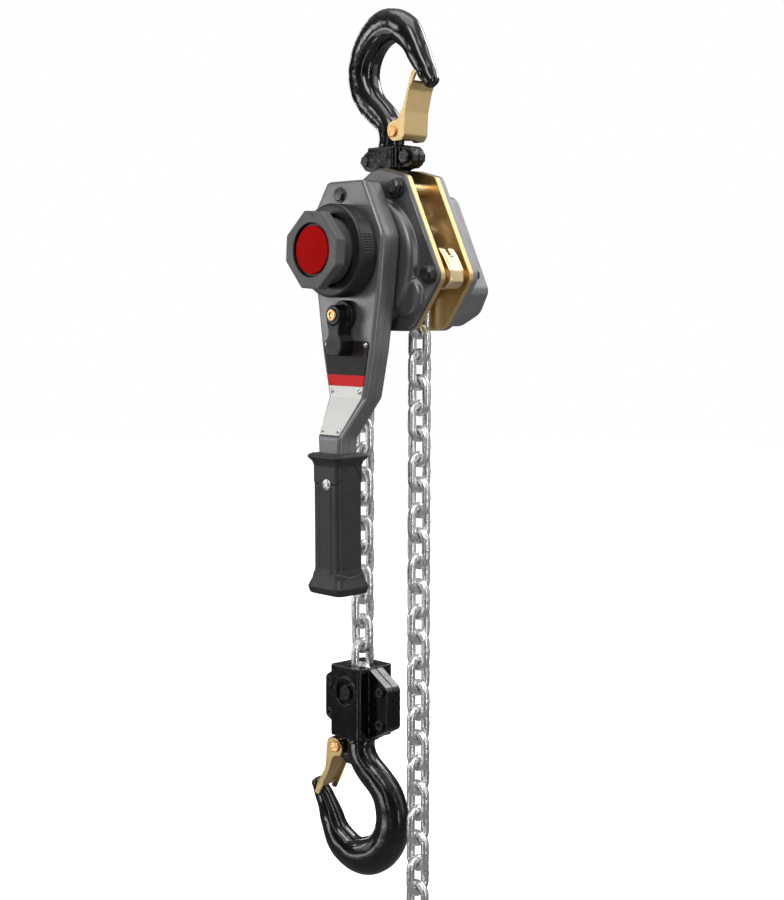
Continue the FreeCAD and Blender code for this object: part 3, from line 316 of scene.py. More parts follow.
MATS["black_fastener"] = rough_cast("black_fastener", (0.006, 0.006, 0.0063), 0.16, 600, 0.00022, 0.4)
MATS["sheave_iron"] = steel("sheave_iron", (0.17, 0.155, 0.14), 0.45, 240, 0.0001)
MATS["friction_lining"] = rubber("friction_lining", (0.12, 0.08, 0.05), 0.75)
MATS["bronze"] = steel("bronze", (0.55, 0.36, 0.18), 0.3)
MATS["copper_screw"] = steel("copper_screw", (0.90, 0.50, 0.22), 0.3, 700, 0.0001)
MATS["spring_wire"] = steel("spring_wire", (0.42, 0.42, 0.45), 0.3)
MATS["plate_red_black"] = banded_plate()
MATS["plate_silver"] = silver_plate()
MATS["grip_rubber"] = rubber("grip_rubber", (0.026, 0.026, 0.028), 0.40)


def knob_paint():
    """Dark grey plastic; the groove round the disc is painted black as shade."""
    m = Mat("knob_plastic", (0.115, 0.115, 0.118), 0.0, 0.42)
    x, z = m.axis(0), m.math("ADD", m.axis(2), SEAT / 1000)
    r = m.math("SQRT", m.math("ADD", m.math("MULTIPLY", x, x), m.math("MULTIPLY", z, z)), 0.0)
    # painted shade: inside a radius of 21.95 mm, which on the front is the groove round the disc, the colour is black
    groove = m.span(r, 1.0, 0.0, 0.02195, 0.02205)
    c = m.ramp(m.noise(28, 4, 0.6), [(0.3, (0.080, 0.080, 0.082)), (0.7, (0.108, 0.108, 0.110))])
    dust = m.span(m.noise(900, 2, 0.5, seed=3.0), 0, 1, 0.68, 0.78)
    c = m.mix(m.math("MULTIPLY", dust, 0.12), c, (0.20, 0.20, 0.20))
    m.set_color(m.mix(groove, c, (0.004, 0.004, 0.004)))
    m.set_rough(m.span(m.noise(55, 5, 0.65, seed=1.0), 0.36, 0.48))
    m.bump(m.noise(650, 2, 0.5), 0.00002)
    return m.m


MATS["knob_plastic"] = knob_paint()
MATS["collar_black"] = paint("collar_black", (0.013, 0.013, 0.014), 0.36, peel=0.00003)
MATS["cap_red"] = red_disc()
MATS["selector_black"] = rough_cast("selector_black", (0.006, 0.006, 0.0063), 0.30, 800, 0.00003, 0.0, 0.35)

SLOT = {}
for slot, names in {
    "black_enamel": "top_hook bottom_hook",
    "black_cast": "yoke_front yoke_rear block_front block_rear",
    "yellow_zinc": "side_plate_front side_plate_rear top_latch bottom_latch stay_sleeves chain_guide",
    "body_grey": "lever_front lever_rear",
    "cover_grey": "gear_cover",
    "brake_cover_grey": "brake_cover",
    "chain_zinc": "chain_on_sheave load_chain_upper load_chain_lower free_chain_upper free_chain_lower chain_end_ring",
    "bright_steel": "suspension_pin lever_rivets shaft_nut chain_pin grip_screw",
    "gear_steel": "load_gear reduction_gear_lower reduction_gear_upper drive_shaft brake_hub ratchet_disc change_gear pawl_a pawl_b pawl_studs selector_pawl selector_detent",
    "black_fastener": "frame_bolts yoke_bolts lever_bolt block_bolts",
    "sheave_iron": "load_sheave",
    "friction_lining": "friction_discs",
    "bronze": "sheave_bearings",
    "copper_screw": "selector_screw top_latch_pin bottom_latch_pin",
    "spring_wire": "top_latch_spring bottom_latch_spring pawl_springs selector_spring",
    "plate_red_black": "lever_plate_upper",
    "plate_silver": "lever_plate_lower",
    "grip_rubber": "grip",
    "knob_plastic": "knob",
    "collar_black": "handwheel",
    "cap_red": "knob_cap",
    "selector_black": "selector_lever",
}.items():
    for nm in names.split():
        SLOT[nm] = slot


# ------------------------------------------------------------------ mesh helpers
def to_row(v):
    v = np.asarray(v, float).reshape(-1, 3) * 0.001
    v[:, 2] -= SEAT * 0.001
    return v


def shade(me, sharp=35.0, fix=True):
    bm = bmesh.new()
    bm.from_mesh(me)
    if fix:
        bmesh.ops.recalc_face_normals(bm, faces=bm.faces)
    lim = math.radians(sharp)
    for f in bm.faces:
        f.smooth = True
    for e in bm.edges:
        e.smooth = not (len(e.link_faces) == 2 and e.calc_face_angle(0) > lim)
    bm.to_mesh(me)
    bm.free()


def make(name, verts, faces, sharp=35.0):
    me = bpy.data.meshes.new(name)
    me.from_pydata([tuple(c) for c in to_row(verts)], [], [tuple(int(i) for i in f) for f in faces])
    me.update()
    shade(me, sharp)
    ob = bpy.data.objects.new(name, me)
    COL.objects.link(ob)
    return ob


class Batch:
    def __init__(self):
        self.v, self.f = [], []

    def add(self, vf):
        v, f = vf
        o = len(self.v)
        self.v.extend([tuple(float(c) for c in p) for p in v])
        self.f.extend([tuple(i + o for i in q) for q in f])
        return self

    def obj(self, name, sharp=35.0):
        return make(name, self.v, self.f, sharp)


def loft(rings, caps=(True, True), loop=False):
    n, m = len(rings), len(rings[0])
    v = [p for r in rings for p in r]
    f = []
    for i in range(n if loop else n - 1):
        a, b = i * m, ((i + 1) % n) * m
        for j in range(m):
            k = (j + 1) % m
            f.append((a + j, a + k, b + k, b + j))
    if caps[0] and not loop:
        f.append(tuple(range(m))[::-1])
    if caps[1] and not loop:
        f.append(tuple((n - 1) * m + j for j in range(m)))
    return v, f


def finish_piece(ob, nodes, slot=None, mat=None, body=None):
    """Material picked by slot, the CAD nodes it stands in for hidden, and the body that it rides on."""
    nodes = [nodes] if isinstance(nodes, str) else list(nodes)
    first = nodes[0] if nodes else None
    slot = slot or (SLOT[first] if first else None)
    ob.data.materials.clear()
    ob.data.materials.append(mat or MATS[slot])
    if nodes:
        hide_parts(*nodes)
        DONE.update(nodes)
    if body is not False:
        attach(ob, body or BODY_OF[first])
    return ob


def round_poly(pts, radii, seg=6):
    n = len(pts)
    if not isinstance(radii, (list, tuple)):
        radii = [radii] * n
    out = []
    for i in range(n):
        p0, p, p1 = (np.array(pts[(i + k) % n], float) for k in (-1, 0, 1))
        a, b = p0 - p, p1 - p
        la, lb = np.linalg.norm(a), np.linalg.norm(b)
        a, b = a / la, b / lb
        ang = math.acos(max(-1, min(1, float(a @ b))))
        r = radii[i]
        if r <= 0 or abs(ang - math.pi) < 1e-3:
            out.append(tuple(p))
            continue
        t = min(r / math.tan(ang / 2), 0.49 * la, 0.49 * lb)
        r = t * math.tan(ang / 2)
        bis = (a + b) / np.linalg.norm(a + b)
        c = p + bis * (r / math.sin(ang / 2))
        s, e = p + a * t - c, p + b * t - c
        a0, a1 = math.atan2(s[1], s[0]), math.atan2(e[1], e[0])
        d = (a1 - a0 + math.pi) % (2 * math.pi) - math.pi
        k = max(2, int(abs(d) / (math.pi / 2) * seg * max(1, min(3, r / 3))))
        for q in range(k + 1):
            w = a0 + d * q / k
            out.append((c[0] + r * math.cos(w), c[1] + r * math.sin(w)))
    return out


def offset_poly(pts, d):
    """Moved inwards by d, corner by corner."""
    n = len(pts)
    area = sum(pts[i][0] * pts[(i + 1) % n][1] - pts[(i + 1) % n][0] * pts[i][1] for i in range(n))
    s = 1 if area > 0 else -1
    out = []
    for i in range(n):
        x0, z0 = pts[i - 1]
        x1, z1 = pts[i]
        x2, z2 = pts[(i + 1) % n]
        ax, az, bx, bz = x1 - x0, z1 - z0, x2 - x1, z2 - z1
        la, lb = math.hypot(ax, az) or 1e-9, math.hypot(bx, bz) or 1e-9
        n1, n2 = (-az / la * s, ax / la * s), (-bz / lb * s, bx / lb * s)
        k = d / max(0.3, 1 + n1[0] * n2[0] + n1[1] * n2[1])
        out.append((x1 + (n1[0] + n2[0]) * k, z1 + (n1[1] + n2[1]) * k))
    return out


def slab(outline, y0, y1, edge=0.6, seg=4, back=None):
    """Plate with rounded rims; outline is a dense closed line in (x, z), y0 the front face."""
    back = edge if back is None else back
    rings = []
    for k in range(seg + 1):
        a = math.pi / 2 * k / seg
        o = offset_poly(outline, edge * (1 - math.sin(a))) if edge else outline
        rings.append([(x, y0 + edge * (1 - math.cos(a)), z) for x, z in o])
    for k in range(seg + 1):
        a = math.pi / 2 * k / seg
        o = offset_poly(outline, back * (1 - math.cos(a))) if back else outline
        rings.append([(x, y1 - back * (1 - math.sin(a)), z) for x, z in o])
    return loft(rings)


def turned_y(profile, x=0.0, z=0.0, n=64, loop=False):
    """Solid of revolution about an axis along Y; profile is a list of (r, y)."""
    rings = []
    for r, y in profile:
        rings.append([(x + max(r, 0.001) * math.cos(2 * math.pi * k / n), y, z + max(r, 0.001) * math.sin(2 * math.pi * k / n)) for k in range(n)])
    return loft(rings, loop=loop)


def arc(c, r, a0, a1, n=5):
    """Points (r, y) of an arc in a profile; degrees."""
    return [(c[0] + r * math.cos(math.radians(a0 + (a1 - a0) * k / n)), c[1] + r * math.sin(math.radians(a0 + (a1 - a0) * k / n))) for k in range(n + 1)]


def lumps(me, amp, size, seed=0.0, where=None):
    """Low forging or casting unevenness along the normals; mm."""
    co = np.array([v.co for v in me.vertices])
    nr = np.array([v.normal for v in me.vertices])
    k = 1000.0 / size
    out = co.copy()
    for i in range(len(co)):
        a = amp * (where[i] if where is not None else 1.0) * 0.001
        if a:
            out[i] += nr[i] * a * noise.noise(Vector(co[i] * k) + Vector((seed, seed * 1.7, 0)))
    me.vertices.foreach_set("co", out.ravel())
    me.update()


def cad_copy(node, bevel=0.5, seg=3, angle=30.0, dissolve=1.0, sharp=40.0, name=None, cast=None, mat=None, slot=None, cut=0.0):
    """The CAD node's own shape with rounded edges; mm."""
    src = frame["nodes"][node]
    bm = bmesh.new()
    bm.from_mesh(src.data)
    bmesh.ops.remove_doubles(bm, verts=bm.verts, dist=3e-6)
    bmesh.ops.dissolve_degenerate(bm, dist=1e-6, edges=bm.edges)
    bmesh.ops.dissolve_limit(bm, angle_limit=math.radians(dissolve), verts=bm.verts, edges=bm.edges, use_dissolve_boundaries=False)
    if cut:
        # long edges in short steps, so that the worn rims can be uneven along their length
        for e_ in list(bm.edges):
            k = int(e_.calc_length() * 1000 / cut)
            if k > 1:
                bmesh.ops.subdivide_edges(bm, edges=[e_], cuts=k - 1)
    bm.verts.index_update()
    bm.verts.ensure_lookup_table()
    bm.faces.ensure_lookup_table()
    vs = [tuple(v.co) for v in bm.verts]
    fs = [tuple(v.index for v in f.verts) for f in bm.faces]
    bm.free()
    me = bpy.data.meshes.new(name or "v_" + node)
    me.from_pydata(vs, [], fs)
    me.update()
    ob = bpy.data.objects.new(name or "v_" + node, me)
    COL.objects.link(ob)
    if bevel:
        md = ob.modifiers.new("rim", "BEVEL")
        md.width = bevel * 0.001
        md.segments = seg
        md.limit_method = "ANGLE"
        md.angle_limit = math.radians(angle)
        md.use_clamp_overlap = False
        md.miter_outer = "MITER_ARC"
        dg = bpy.context.evaluated_depsgraph_get()
        new = bpy.data.meshes.new_from_object(ob.evaluated_get(dg))
        ob.modifiers.clear()
        ob.data = new
        bpy.data.meshes.remove(me)
        me = new
    me.name = name or "v_" + node
    shade(me, sharp, fix=False)
    if cast:
        lumps(me, cast[0], cast[1])
    wn = ob.modifiers.new("normals", "WEIGHTED_NORMAL")
    wn.keep_sharp = True
    wn.weight = 60
    finish_piece(ob, node, slot, mat)
    return ob


def cut_holes(ob, holes):
    """Round holes through ob; (x, z, y0, y1, r)."""
    b = Batch()
    for x, z, y0, y1, r in holes:
        b.add(turned_y([(r, y0), (r, y1)], x, z, 72))
    cutter = b.obj("cutter")
    md = ob.modifiers.new("cut", "BOOLEAN")
    md.operation = "DIFFERENCE"
    md.object = cutter
    md.solver = "EXACT"
    md.use_self = True
    dg = bpy.context.evaluated_depsgraph_get()
    new = bpy.data.meshes.new_from_object(ob.evaluated_get(dg))
    ob.modifiers.clear()
    old = ob.data
    ob.data = new
    new.name = old.name
    bpy.data.meshes.remove(old)
    cm = cutter.data
    bpy.data.objects.remove(cutter)
    bpy.data.meshes.remove(cm)


# ------------------------------------------------------------------ chain
CH_R, CH_D, CH_S = 8.3, 3.5, 5.7


def link_vf(cx, cz, flat, tilt=0.0, seed=0, na=22, nl=9, nc=16):
    rng = np.random.default_rng(100 + seed)
    w1, w2, w3 = rng.uniform(0, 6.28, 3)
    path = []
    for k in range(na):
        t = math.pi * k / na
        path.append((CH_R * math.cos(t), CH_S + CH_R * math.sin(t), math.cos(t), math.sin(t), 0))
    for k in range(nl):
        path.append((-CH_R, CH_S - 2 * CH_S * k / nl, -1, 0, 1))
    for k in range(na):
        t = math.pi + math.pi * k / na
        path.append((CH_R * math.cos(t), -CH_S + CH_R * math.sin(t), math.cos(t), math.sin(t), 0))
    for k in range(nl):
        path.append((CH_R, -CH_S + 2 * CH_S * k / nl, 1, 0, 2))
    rings = []
    for i, (x, z, ux, uz, leg) in enumerate(path):
        ring = []
        weld = 0.30 * math.exp(-((z / 1.7) ** 2)) if leg == 2 else 0.0
        notch = -0.12 * math.exp(-(((abs(z) - 2.6) / 0.7) ** 2)) if leg == 2 else 0.0
        for j in range(nc):
            a = 2 * math.pi * j / nc
            c, s = math.cos(a), math.sin(a)
            r = CH_D - 0.02 + (weld * max(0.0, 0.35 + c)) + notch * max(0.0, 0.4 + c) - 0.05 * (1 + math.sin(2 * a + w1 + 0.35 * i))
            ring.append((x + ux * c * r, s * r, z + uz * c * r))
        rings.append(ring)
    v, f = loft(rings, loop=True)
    v = np.array(v)
    if flat:
        v = np.stack([-v[:, 1], v[:, 0], v[:, 2]], 1)
    if seed % 3 == 0:
        v[:, 2] *= -1
        f = [q[::-1] for q in f]
    t = math.radians(tilt)
    x, z = v[:, 0] * math.cos(t) + v[:, 2] * math.sin(t), -v[:, 0] * math.sin(t) + v[:, 2] * math.cos(t)
    v = np.stack([x + cx, v[:, 1], z + cz], 1)
    return v, f


SHEAVE_R, FIRST_J, HALF_FLAT, HALF_UP = 34.02, 3.4, 13.95, 6.95
at = FIRST_J
wrap = Batch()
for k in range(5):
    st = 2 * math.degrees(math.asin((HALF_FLAT if k % 2 else HALF_UP) / SHEAVE_R))
    ma = math.radians(at + st / 2)
    rc = SHEAVE_R * math.cos(math.radians(st / 2))
    wrap.add(link_vf(rc * math.cos(ma), rc * math.sin(ma), k % 2 == 1, -math.degrees(ma), seed=k))
    at += st
finish_piece(wrap.obj("v_chain_on_sheave", 80), "chain_on_sheave")

ZL, ZR = 5.60 - 14.0, 2.05 - 14.0
up = Batch()
for k in range(10):
    up.add(link_vf(-34.0, ZL - 21.0 * k, k % 2 == 0, seed=10 + k))
ob_up = up.obj("v_load_chain_upper", 80)
finish_piece(ob_up, "load_chain_upper")
tuple(to_row([(-34.0, 0, ZL + 14.0)])[0])
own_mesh(ob_up)
lowc = Batch()
for k in range(10, 18):
    lowc.add(link_vf(-34.0, ZL - 21.0 * k, k % 2 == 0, seed=10 + k))
finish_piece(lowc.obj("v_load_chain_lower", 80), "load_chain_lower")
free = Batch()
for k in range(27):
    free.add(link_vf(34.0, ZR - 21.0 * k, k % 2 == 0, seed=40 + k))
ob_free = free.obj("v_free_chain", 80)
finish_piece(ob_free, ["free_chain_upper", "free_chain_lower"], body=False)
tuple(to_row([(34.0, 0, ZR + 14.0)])[0])
tuple(to_row([(34.0, 0, ZR - 21.0 * 26 - 14.0)])[0])
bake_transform(ob_free)


# ------------------------------------------------------------------ hooks
def spline(points, n=3000):
    """Natural cubic through points by chord length: stations, points and tangents."""
    p = np.asarray(points, float)
    h = np.linalg.norm(np.diff(p, axis=0), axis=1)
    u = np.concatenate([[0], np.cumsum(h)])
    m = len(p)
    A = np.zeros((m, m))
    B = np.zeros((m, 2))
    A[0, 0] = A[-1, -1] = 1
    for i in range(1, m - 1):
        A[i, i - 1], A[i, i], A[i, i + 1] = h[i - 1], 2 * (h[i - 1] + h[i]), h[i]
        B[i] = 6 * ((p[i + 1] - p[i]) / h[i] - (p[i] - p[i - 1]) / h[i - 1])
    M = np.linalg.solve(A, B)
    t = np.linspace(0, u[-1], n)
    k = np.clip(np.searchsorted(u, t, side="right") - 1, 0, m - 2)
    a, b = (u[k + 1] - t), (t - u[k])
    hk = h[k]
    q = (M[k] * (a ** 3)[:, None] + M[k + 1] * (b ** 3)[:, None]) / (6 * hk)[:, None] \
        + (p[k] / hk[:, None] - M[k] * hk[:, None] / 6) * a[:, None] + (p[k + 1] / hk[:, None] - M[k + 1] * hk[:, None] / 6) * b[:, None]
    s = np.concatenate([[0], np.cumsum(np.linalg.norm(np.diff(q, axis=0), axis=1))])
    return q, s / s[-1], s[-1]


def hook_body(path, widths, n, first, nc=88, f0=0.0):
    q, s, L = spline(path)
    g = np.gradient(q, axis=0)
    rings, flank = list(first), []
    for i in range(n):
        f = f0 + (1 - f0) * i / (n - 1)
        cap = []
        if i == n - 1:
            cap = [(1 - 3.0 / L * (1 - math.sin(a)), math.cos(a)) for a in (0.35, 0.7, 1.0, 1.25, 1.45)]
        for ff, sc in ([(f, 1.0)] if i < n - 1 else cap):
            x, z = np.interp(ff, s, q[:, 0]), np.interp(ff, s, q[:, 1])
            tx, tz = np.interp(ff, s, g[:, 0]), np.interp(ff, s, g[:, 1])
            l = math.hypot(tx, tz)
            tx, tz = tx / l, tz / l
            for (a0, w0, t0), (a1, w1, t1) in zip(widths, widths[1:]):
                if a0 - 1e-9 <= ff <= a1 + 1e-9:
                    k = (ff - a0) / (a1 - a0)
                    k = k * k * (3 - 2 * k)
                    w, t = w0 + (w1 - w0) * k, t0 + (t1 - t0) * k
                    break
            ring = []
            for j in range(nc):
                a = 2 * math.pi * j / nc
                ca, sa = math.cos(a), math.sin(a)
                pw = 2 / (2.35 if ff > 0.03 else 2.0 + 0.35 * ff / 0.03)
                uu = math.copysign(abs(ca) ** pw, ca) * w / 2 * sc
                vv = math.copysign(abs(sa) ** pw, sa) * t / 2 * sc
                ring.append((x + tz * uu, vv, z - tx * uu))
            rings.append(ring)
    return loft(rings)


def circ(r, z, nc=88, x=0.0, y=0.0):
    # the same order of points as a hook section whose line runs straight up
    return [(x + r * math.cos(2 * math.pi * j / nc), y + r * math.sin(2 * math.pi * j / nc), z) for j in range(nc)]


def forge_mask(ob, centre, strong):
    """Where the forging is rough: 1, where it is smooth: 0. strong(x, y, z, nx, ny, nz) in mm."""
    me = ob.data
    at_ = me.attributes.new("forge", "FLOAT", "POINT")
    vals = np.zeros(len(me.vertices), np.float32)
    for i, v in enumerate(me.vertices):
        x, y, z = v.co[0] * 1000, v.co[1] * 1000, v.co[2] * 1000 + SEAT
        vals[i] = strong(x, y, z, *v.normal)
    at_.data.foreach_set("value", vals)
    return vals


top_path = [(0.9, 93.0), (0.2, 101.5), (-7.0, 111.2), (-19.2, 120.8), (-28.2, 131.5), (-32.4, 142.0),
            (-32.9, 153.7), (-28.7, 166.6), (-20.1, 177.6), (-9.0, 184.9), (1.0, 186.4), (10.6, 184.4),
            (19.5, 178.4), (26.0, 170.6), (31.6, 161.3), (37.9, 150.6), (44.2, 140.6), (49.0, 133.2)]
top_w = [(0, 21, 21), (0.06, 21, 21), (0.16, 24, 21), (0.3, 26.5, 23.5), (0.46, 28, 24), (0.58, 29.5, 24),
         (0.7, 25.5, 22), (0.82, 19.5, 18.5), (0.93, 16, 15), (0.985, 12.5, 12), (1.0, 8, 8)]
first = [circ(10.6, 70.5), circ(11.35, 71.0), circ(11.35, 76.0), circ(10.9, 76.5), circ(7.9, 76.5), circ(7.9, 86.1),
         circ(10.3, 87.1), circ(10.5, 87.7), circ(10.5, 89.0), circ(10.5, 90.6, x=0.3)]
hk = Batch()
hk.add(hook_body(top_path, top_w, 250, first))
PTX, PTZ = 15.5, 97.6
hk.add(slab(round_poly([(2, 92.5), (18, 91), (21.2, 93.5), (21.2, 101.5), (12, 111), (-2, 113)], 3.0), -6.2, 6.2, 1.2, 5))
top = hk.obj("v_top_hook", 50)


def top_mask(x, y, z, nx, ny, nz):
    # outer flank of the bowl and the side towards the neck are rough, the right arm is smooth
    r = math.hypot(x - 0.5, z - 152)
    out = (nx * (x - 0.5) + nz * (z - 152)) / max(r, 1e-6)
    side = 1.0 if x < 12 else max(0.0, 1 - (x - 12) / 14)
    return max(0.0, min(1.0, (out + 0.15) * 1.8)) * side * 0.9 + 0.06


m_ = forge_mask(top, None, top_mask)
lumps(top.data, 0.30, 9.0, 1.0, m_)
lumps(top.data, 0.22, 3.6, 5.0, m_)
finish_piece(top, "top_hook")

bh_path = [(-0.4, -411.0), (-1.6, -421.0), (3.6, -434.6), (16.0, -447.0), (26.3, -458.8), (30.8, -473.0),
           (29.8, -492.0), (22.4, -505.6), (9.0, -514.6), (-6.0, -515.9), (-18.8, -509.4), (-27.3, -499.0),
           (-32.6, -487.2), (-37.0, -477.0), (-42.2, -467.6), (-46.8, -460.4), (-49.6, -456.6)]
bh_w = [(0, 23, 23), (0.08, 23, 23), (0.2, 25, 22), (0.34, 28, 23), (0.47, 31, 24), (0.58, 32.5, 24), (0.7, 28, 22.5),
        (0.82, 21, 19), (0.92, 16, 15), (0.985, 12, 11.5), (1.0, 8, 8)]


def circ_d(r, z, nc=88, x=0.0):
    # as circ, for a line that runs straight down
    return [(x - r * math.cos(2 * math.pi * j / nc), r * math.sin(2 * math.pi * j / nc), z) for j in range(nc)]


first = [circ_d(11.4, -396.4), circ_d(11.9, -396.9), circ_d(11.9, -402.7), circ_d(7.9, -402.7), circ_d(7.9, -414.4), circ_d(10.9, -414.4), circ_d(11.3, -414.9)]
bhk = Batch()
bhk.add(hook_body(bh_path, bh_w, 260, first, f0=0.028))
PBX, PBZ = -19.0, -421.6
bhk.add(slab(round_poly([(-2, -416.5), (-17, -416.0), (-23.6, -417.6), (-23.6, -426.0), (-14, -436.5), (0, -438)], 3.0), -6.2, 6.2, 1.2, 5))
BLK_X = -34.0
tb = math.radians(12.0)
bhk.v = [(x * math.cos(tb) - y * math.sin(tb) + BLK_X, x * math.sin(tb) + y * math.cos(tb), z) for x, y, z in bhk.v]
bot = bhk.obj("v_bottom_hook", 50)


def bot_mask(x, y, z, nx, ny, nz):
    r = math.hypot(x - BLK_X + 3, z + 484)
    out = (nx * (x - BLK_X + 3) + nz * (z + 484)) / max(r, 1e-6)
    return max(0.0, min(1.0, (out + 0.3) * 1.4)) * 0.55 + 0.10


m_ = forge_mask(bot, None, bot_mask)
lumps(bot.data, 0.22, 9.0, 3.0, m_)
finish_piece(bot, "bottom_hook")

# ------------------------------------------------------------------ lever halves
LEVER_F, LEVER_D, LEVER_T, CRANK = -49.5, 20.0, 2.6, 19.5
lev_pts = [(-24.8, 57.0), (20.0, 56.8), (42.8, 12.0), (38.2, -31.0), (30.9, -80.0), (22.6, -118.0), (14.2, -150.0), (13.4, -160.0),
           (13.4, -214.0), (-13.4, -214.0), (-13.4, -160.0), (-14.2, -150.0), (-22.6, -118.0), (-30.9, -80.0), (-38.2, -31.0), (-42.8, 12.0), (-42.0, 30.5)]
lev_rad = [4, 4, 10, 0, 0, 18, 14, 0, 2, 2, 0, 14, 18, 0, 0, 8, 10]
zz = np.arange(-214.0, 52.0, 0.5)
kern = np.exp(-(np.arange(-16, 17) * 0.5) ** 2 / (2 * 3.0 ** 2))
kern /= kern.sum()
blend_top = np.clip((24.0 - zz) / 8.0, 0, 1)
SIDES = {}
for sgn in (-1, 1):
    o_ = sorted([(p[1], sgn * p[0]) for p in round_poly(lev_pts, lev_rad, 10) if sgn * p[0] > 0.5])
    lz, lx = np.array([p[0] for p in o_]), np.array([p[1] for p in o_])
    ww = np.interp(zz, lz, lx)
    ws = np.convolve(np.pad(ww, 16, mode="edge"), kern, "valid")
    SIDES[sgn] = (lz, lx, ws * blend_top + ww * (1 - blend_top))


def lev_w(z, sgn):
    """How far the lever reaches to the right (1) or left (-1) of its axis at height z."""
    lz, lx, ws = SIDES[sgn]
    return float(np.interp(z, zz, ws)) if z < 51.5 else float(np.interp(z, lz, lx))


def lev_front(z):
    """Front face of the lever; the step has small bend radii."""
    t = (-118.5 - z) / 32.0
    k = 0.045
    def soft(u):          # a ramp that starts softly
        return 0.0 if u <= -k else (u if u >= k else (u + k) ** 2 / (4 * k))
    return LEVER_F - CRANK * (soft(t) - soft(t - 1.0))


def u_ring(z, inset, front, rf=3.6):
    xl, xr = inset - lev_w(z, -1), lev_w(z, 1) - inset
    f = lev_front(z)
    mid = f + LEVER_D / 2
    pts = []
    if front:
        yf, sgn, lip = f + inset, 1, -0.12
    else:
        yf, sgn, lip = f + LEVER_D - inset, -1, 0.12
    T = LEVER_T
    mid = mid + lip
    for k in range(4):
        pts.append((xl, mid + (yf + sgn * rf - mid) * k / 4, z))
    for k in range(9):
        a = math.pi / 2 * k / 8
        pts.append((xl + rf * (1 - math.cos(a)), yf + sgn * rf * (1 - math.sin(a)), z))
    for k in range(1, 12):
        pts.append((xl + rf + (xr - xl - 2 * rf) * k / 12, yf, z))
    for k in range(9):
        a = math.pi / 2 * (1 - k / 8)
        pts.append((xr - rf * (1 - math.cos(a)), yf + sgn * rf * (1 - math.sin(a)), z))
    for k in range(1, 5):
        pts.append((xr, yf + sgn * rf + (mid - yf - sgn * rf) * k / 4, z))
    yi, ri = yf + sgn * T, rf - T
    pts.append((xr - T, mid, z))
    for k in range(4):
        a = math.pi / 2 * k / 3
        pts.append((xr - T - ri * (1 - math.cos(a)), yi + sgn * ri * (1 - math.sin(a)), z))
    for k in range(4):
        a = math.pi / 2 * (1 - k / 3)
        pts.append((xl + T + ri * (1 - math.cos(a)), yi + sgn * ri * (1 - math.sin(a)), z))
    pts.append((xl + T, mid, z))
    return pts


def d_ring(z, inset, front, rf=3.6):
    r = u_ring(z, inset, front, rf)
    n = 4 + 9 + 11 + 9 + 4
    out = r[:n]
    a, b = r[n - 1], r[0]
    for k in range(1, 6):
        out.append((a[0] + (b[0] - a[0]) * k / 6, a[1], z))
    return out


def lever_half(front):
    zs = list(np.arange(-214.0, -152.0, 3.0)) + list(np.arange(-152.0, -116.0, 0.5)) + list(np.arange(-116.0, 54.2, 1.5)) + [54.2]
    b = Batch()
    b.add(loft([u_ring(float(z), 0, front) for z in zs]))
    rings = [d_ring(z, 0, front) for z in (54.2, 54.5)]
    rt = 2.2
    for k in range(1, 7):
        a = math.pi / 2 * k / 6
        rings.append(d_ring(54.6 + rt * math.sin(a), rt * (1 - math.cos(a)), front))
    b.add(loft(rings))
    return b


lf = lever_half(True).obj("v_lever_front", 40)
cut_holes(lf, [(0, 0, -60, -40.5, 16.0), (0, -51.6, -60, -41, 4.55)])
shade(lf.data, 40, False)
finish_piece(lf, "lever_front")
lr = lever_half(False).obj("v_lever_rear", 40)
cut_holes(lr, [(0, 0, -38.5, -20, 28.0), (0, -51.6, -38, -20, 3.55)])
shade(lr.data, 40, False)
finish_piece(lr, "lever_rear")

# ------------------------------------------------------------------ grip
gy = LEVER_F - CRANK + LEVER_D / 2
GW = [(-277.0, 19.0, 16.4, 1.0), (-271.0, 20.4, 17.6, 1.0), (-264.0, 17.6, 15.0, 0.9), (-256.0, 16.4, 14.0, 0.8), (-220.0, 16.2, 14.0, 0.3),
      (-173.0, 16.4, 14.2, 0.0), (-169.5, 17.4, 15.2, 0.0), (-166.0, 20.0, 18.2, 0.0), (-163.0, 19.0, 17.0, 0.0)]


def grip_dims(z):
    q = np.array(GW)
    return [float(np.interp(z, q[:, 0], q[:, k])) for k in (1, 2, 3)]


def sstep(x, a, b):
    t = max(0.0, min(1.0, (x - a) / (b - a)))
    return t * t * (3 - 2 * t)


def grip_relief(x, y, z, side_s):
    """How far the surface lies back; the side panels wrap round the front corners."""
    # panel edge on the front and back faces, and its arched ends on the flanks
    ax = abs(x)
    in_side = sstep(ax, 6.6, 7.3)
    yy = abs(y - gy)
    top_z = -188.0 + 15.5 * sstep(yy, 15.5, 2.0) if yy < 15.5 else -188.0
    bot_z = -262.0 + 3.0 * sstep(yy, 2.0, 14.0)
    d_top, d_bot = top_z - z, z - bot_z
    inside = in_side * sstep(d_top, -0.1, 0.7) * sstep(d_bot, -0.1, 0.7)
    groove = 0.0
    if in_side > 0.5:
        groove = max(math.exp(-((d_top - 0.2) / 0.55) ** 2), math.exp(-((d_bot - 0.2) / 0.55) ** 2))
    return 0.55 * inside + 0.55 * groove


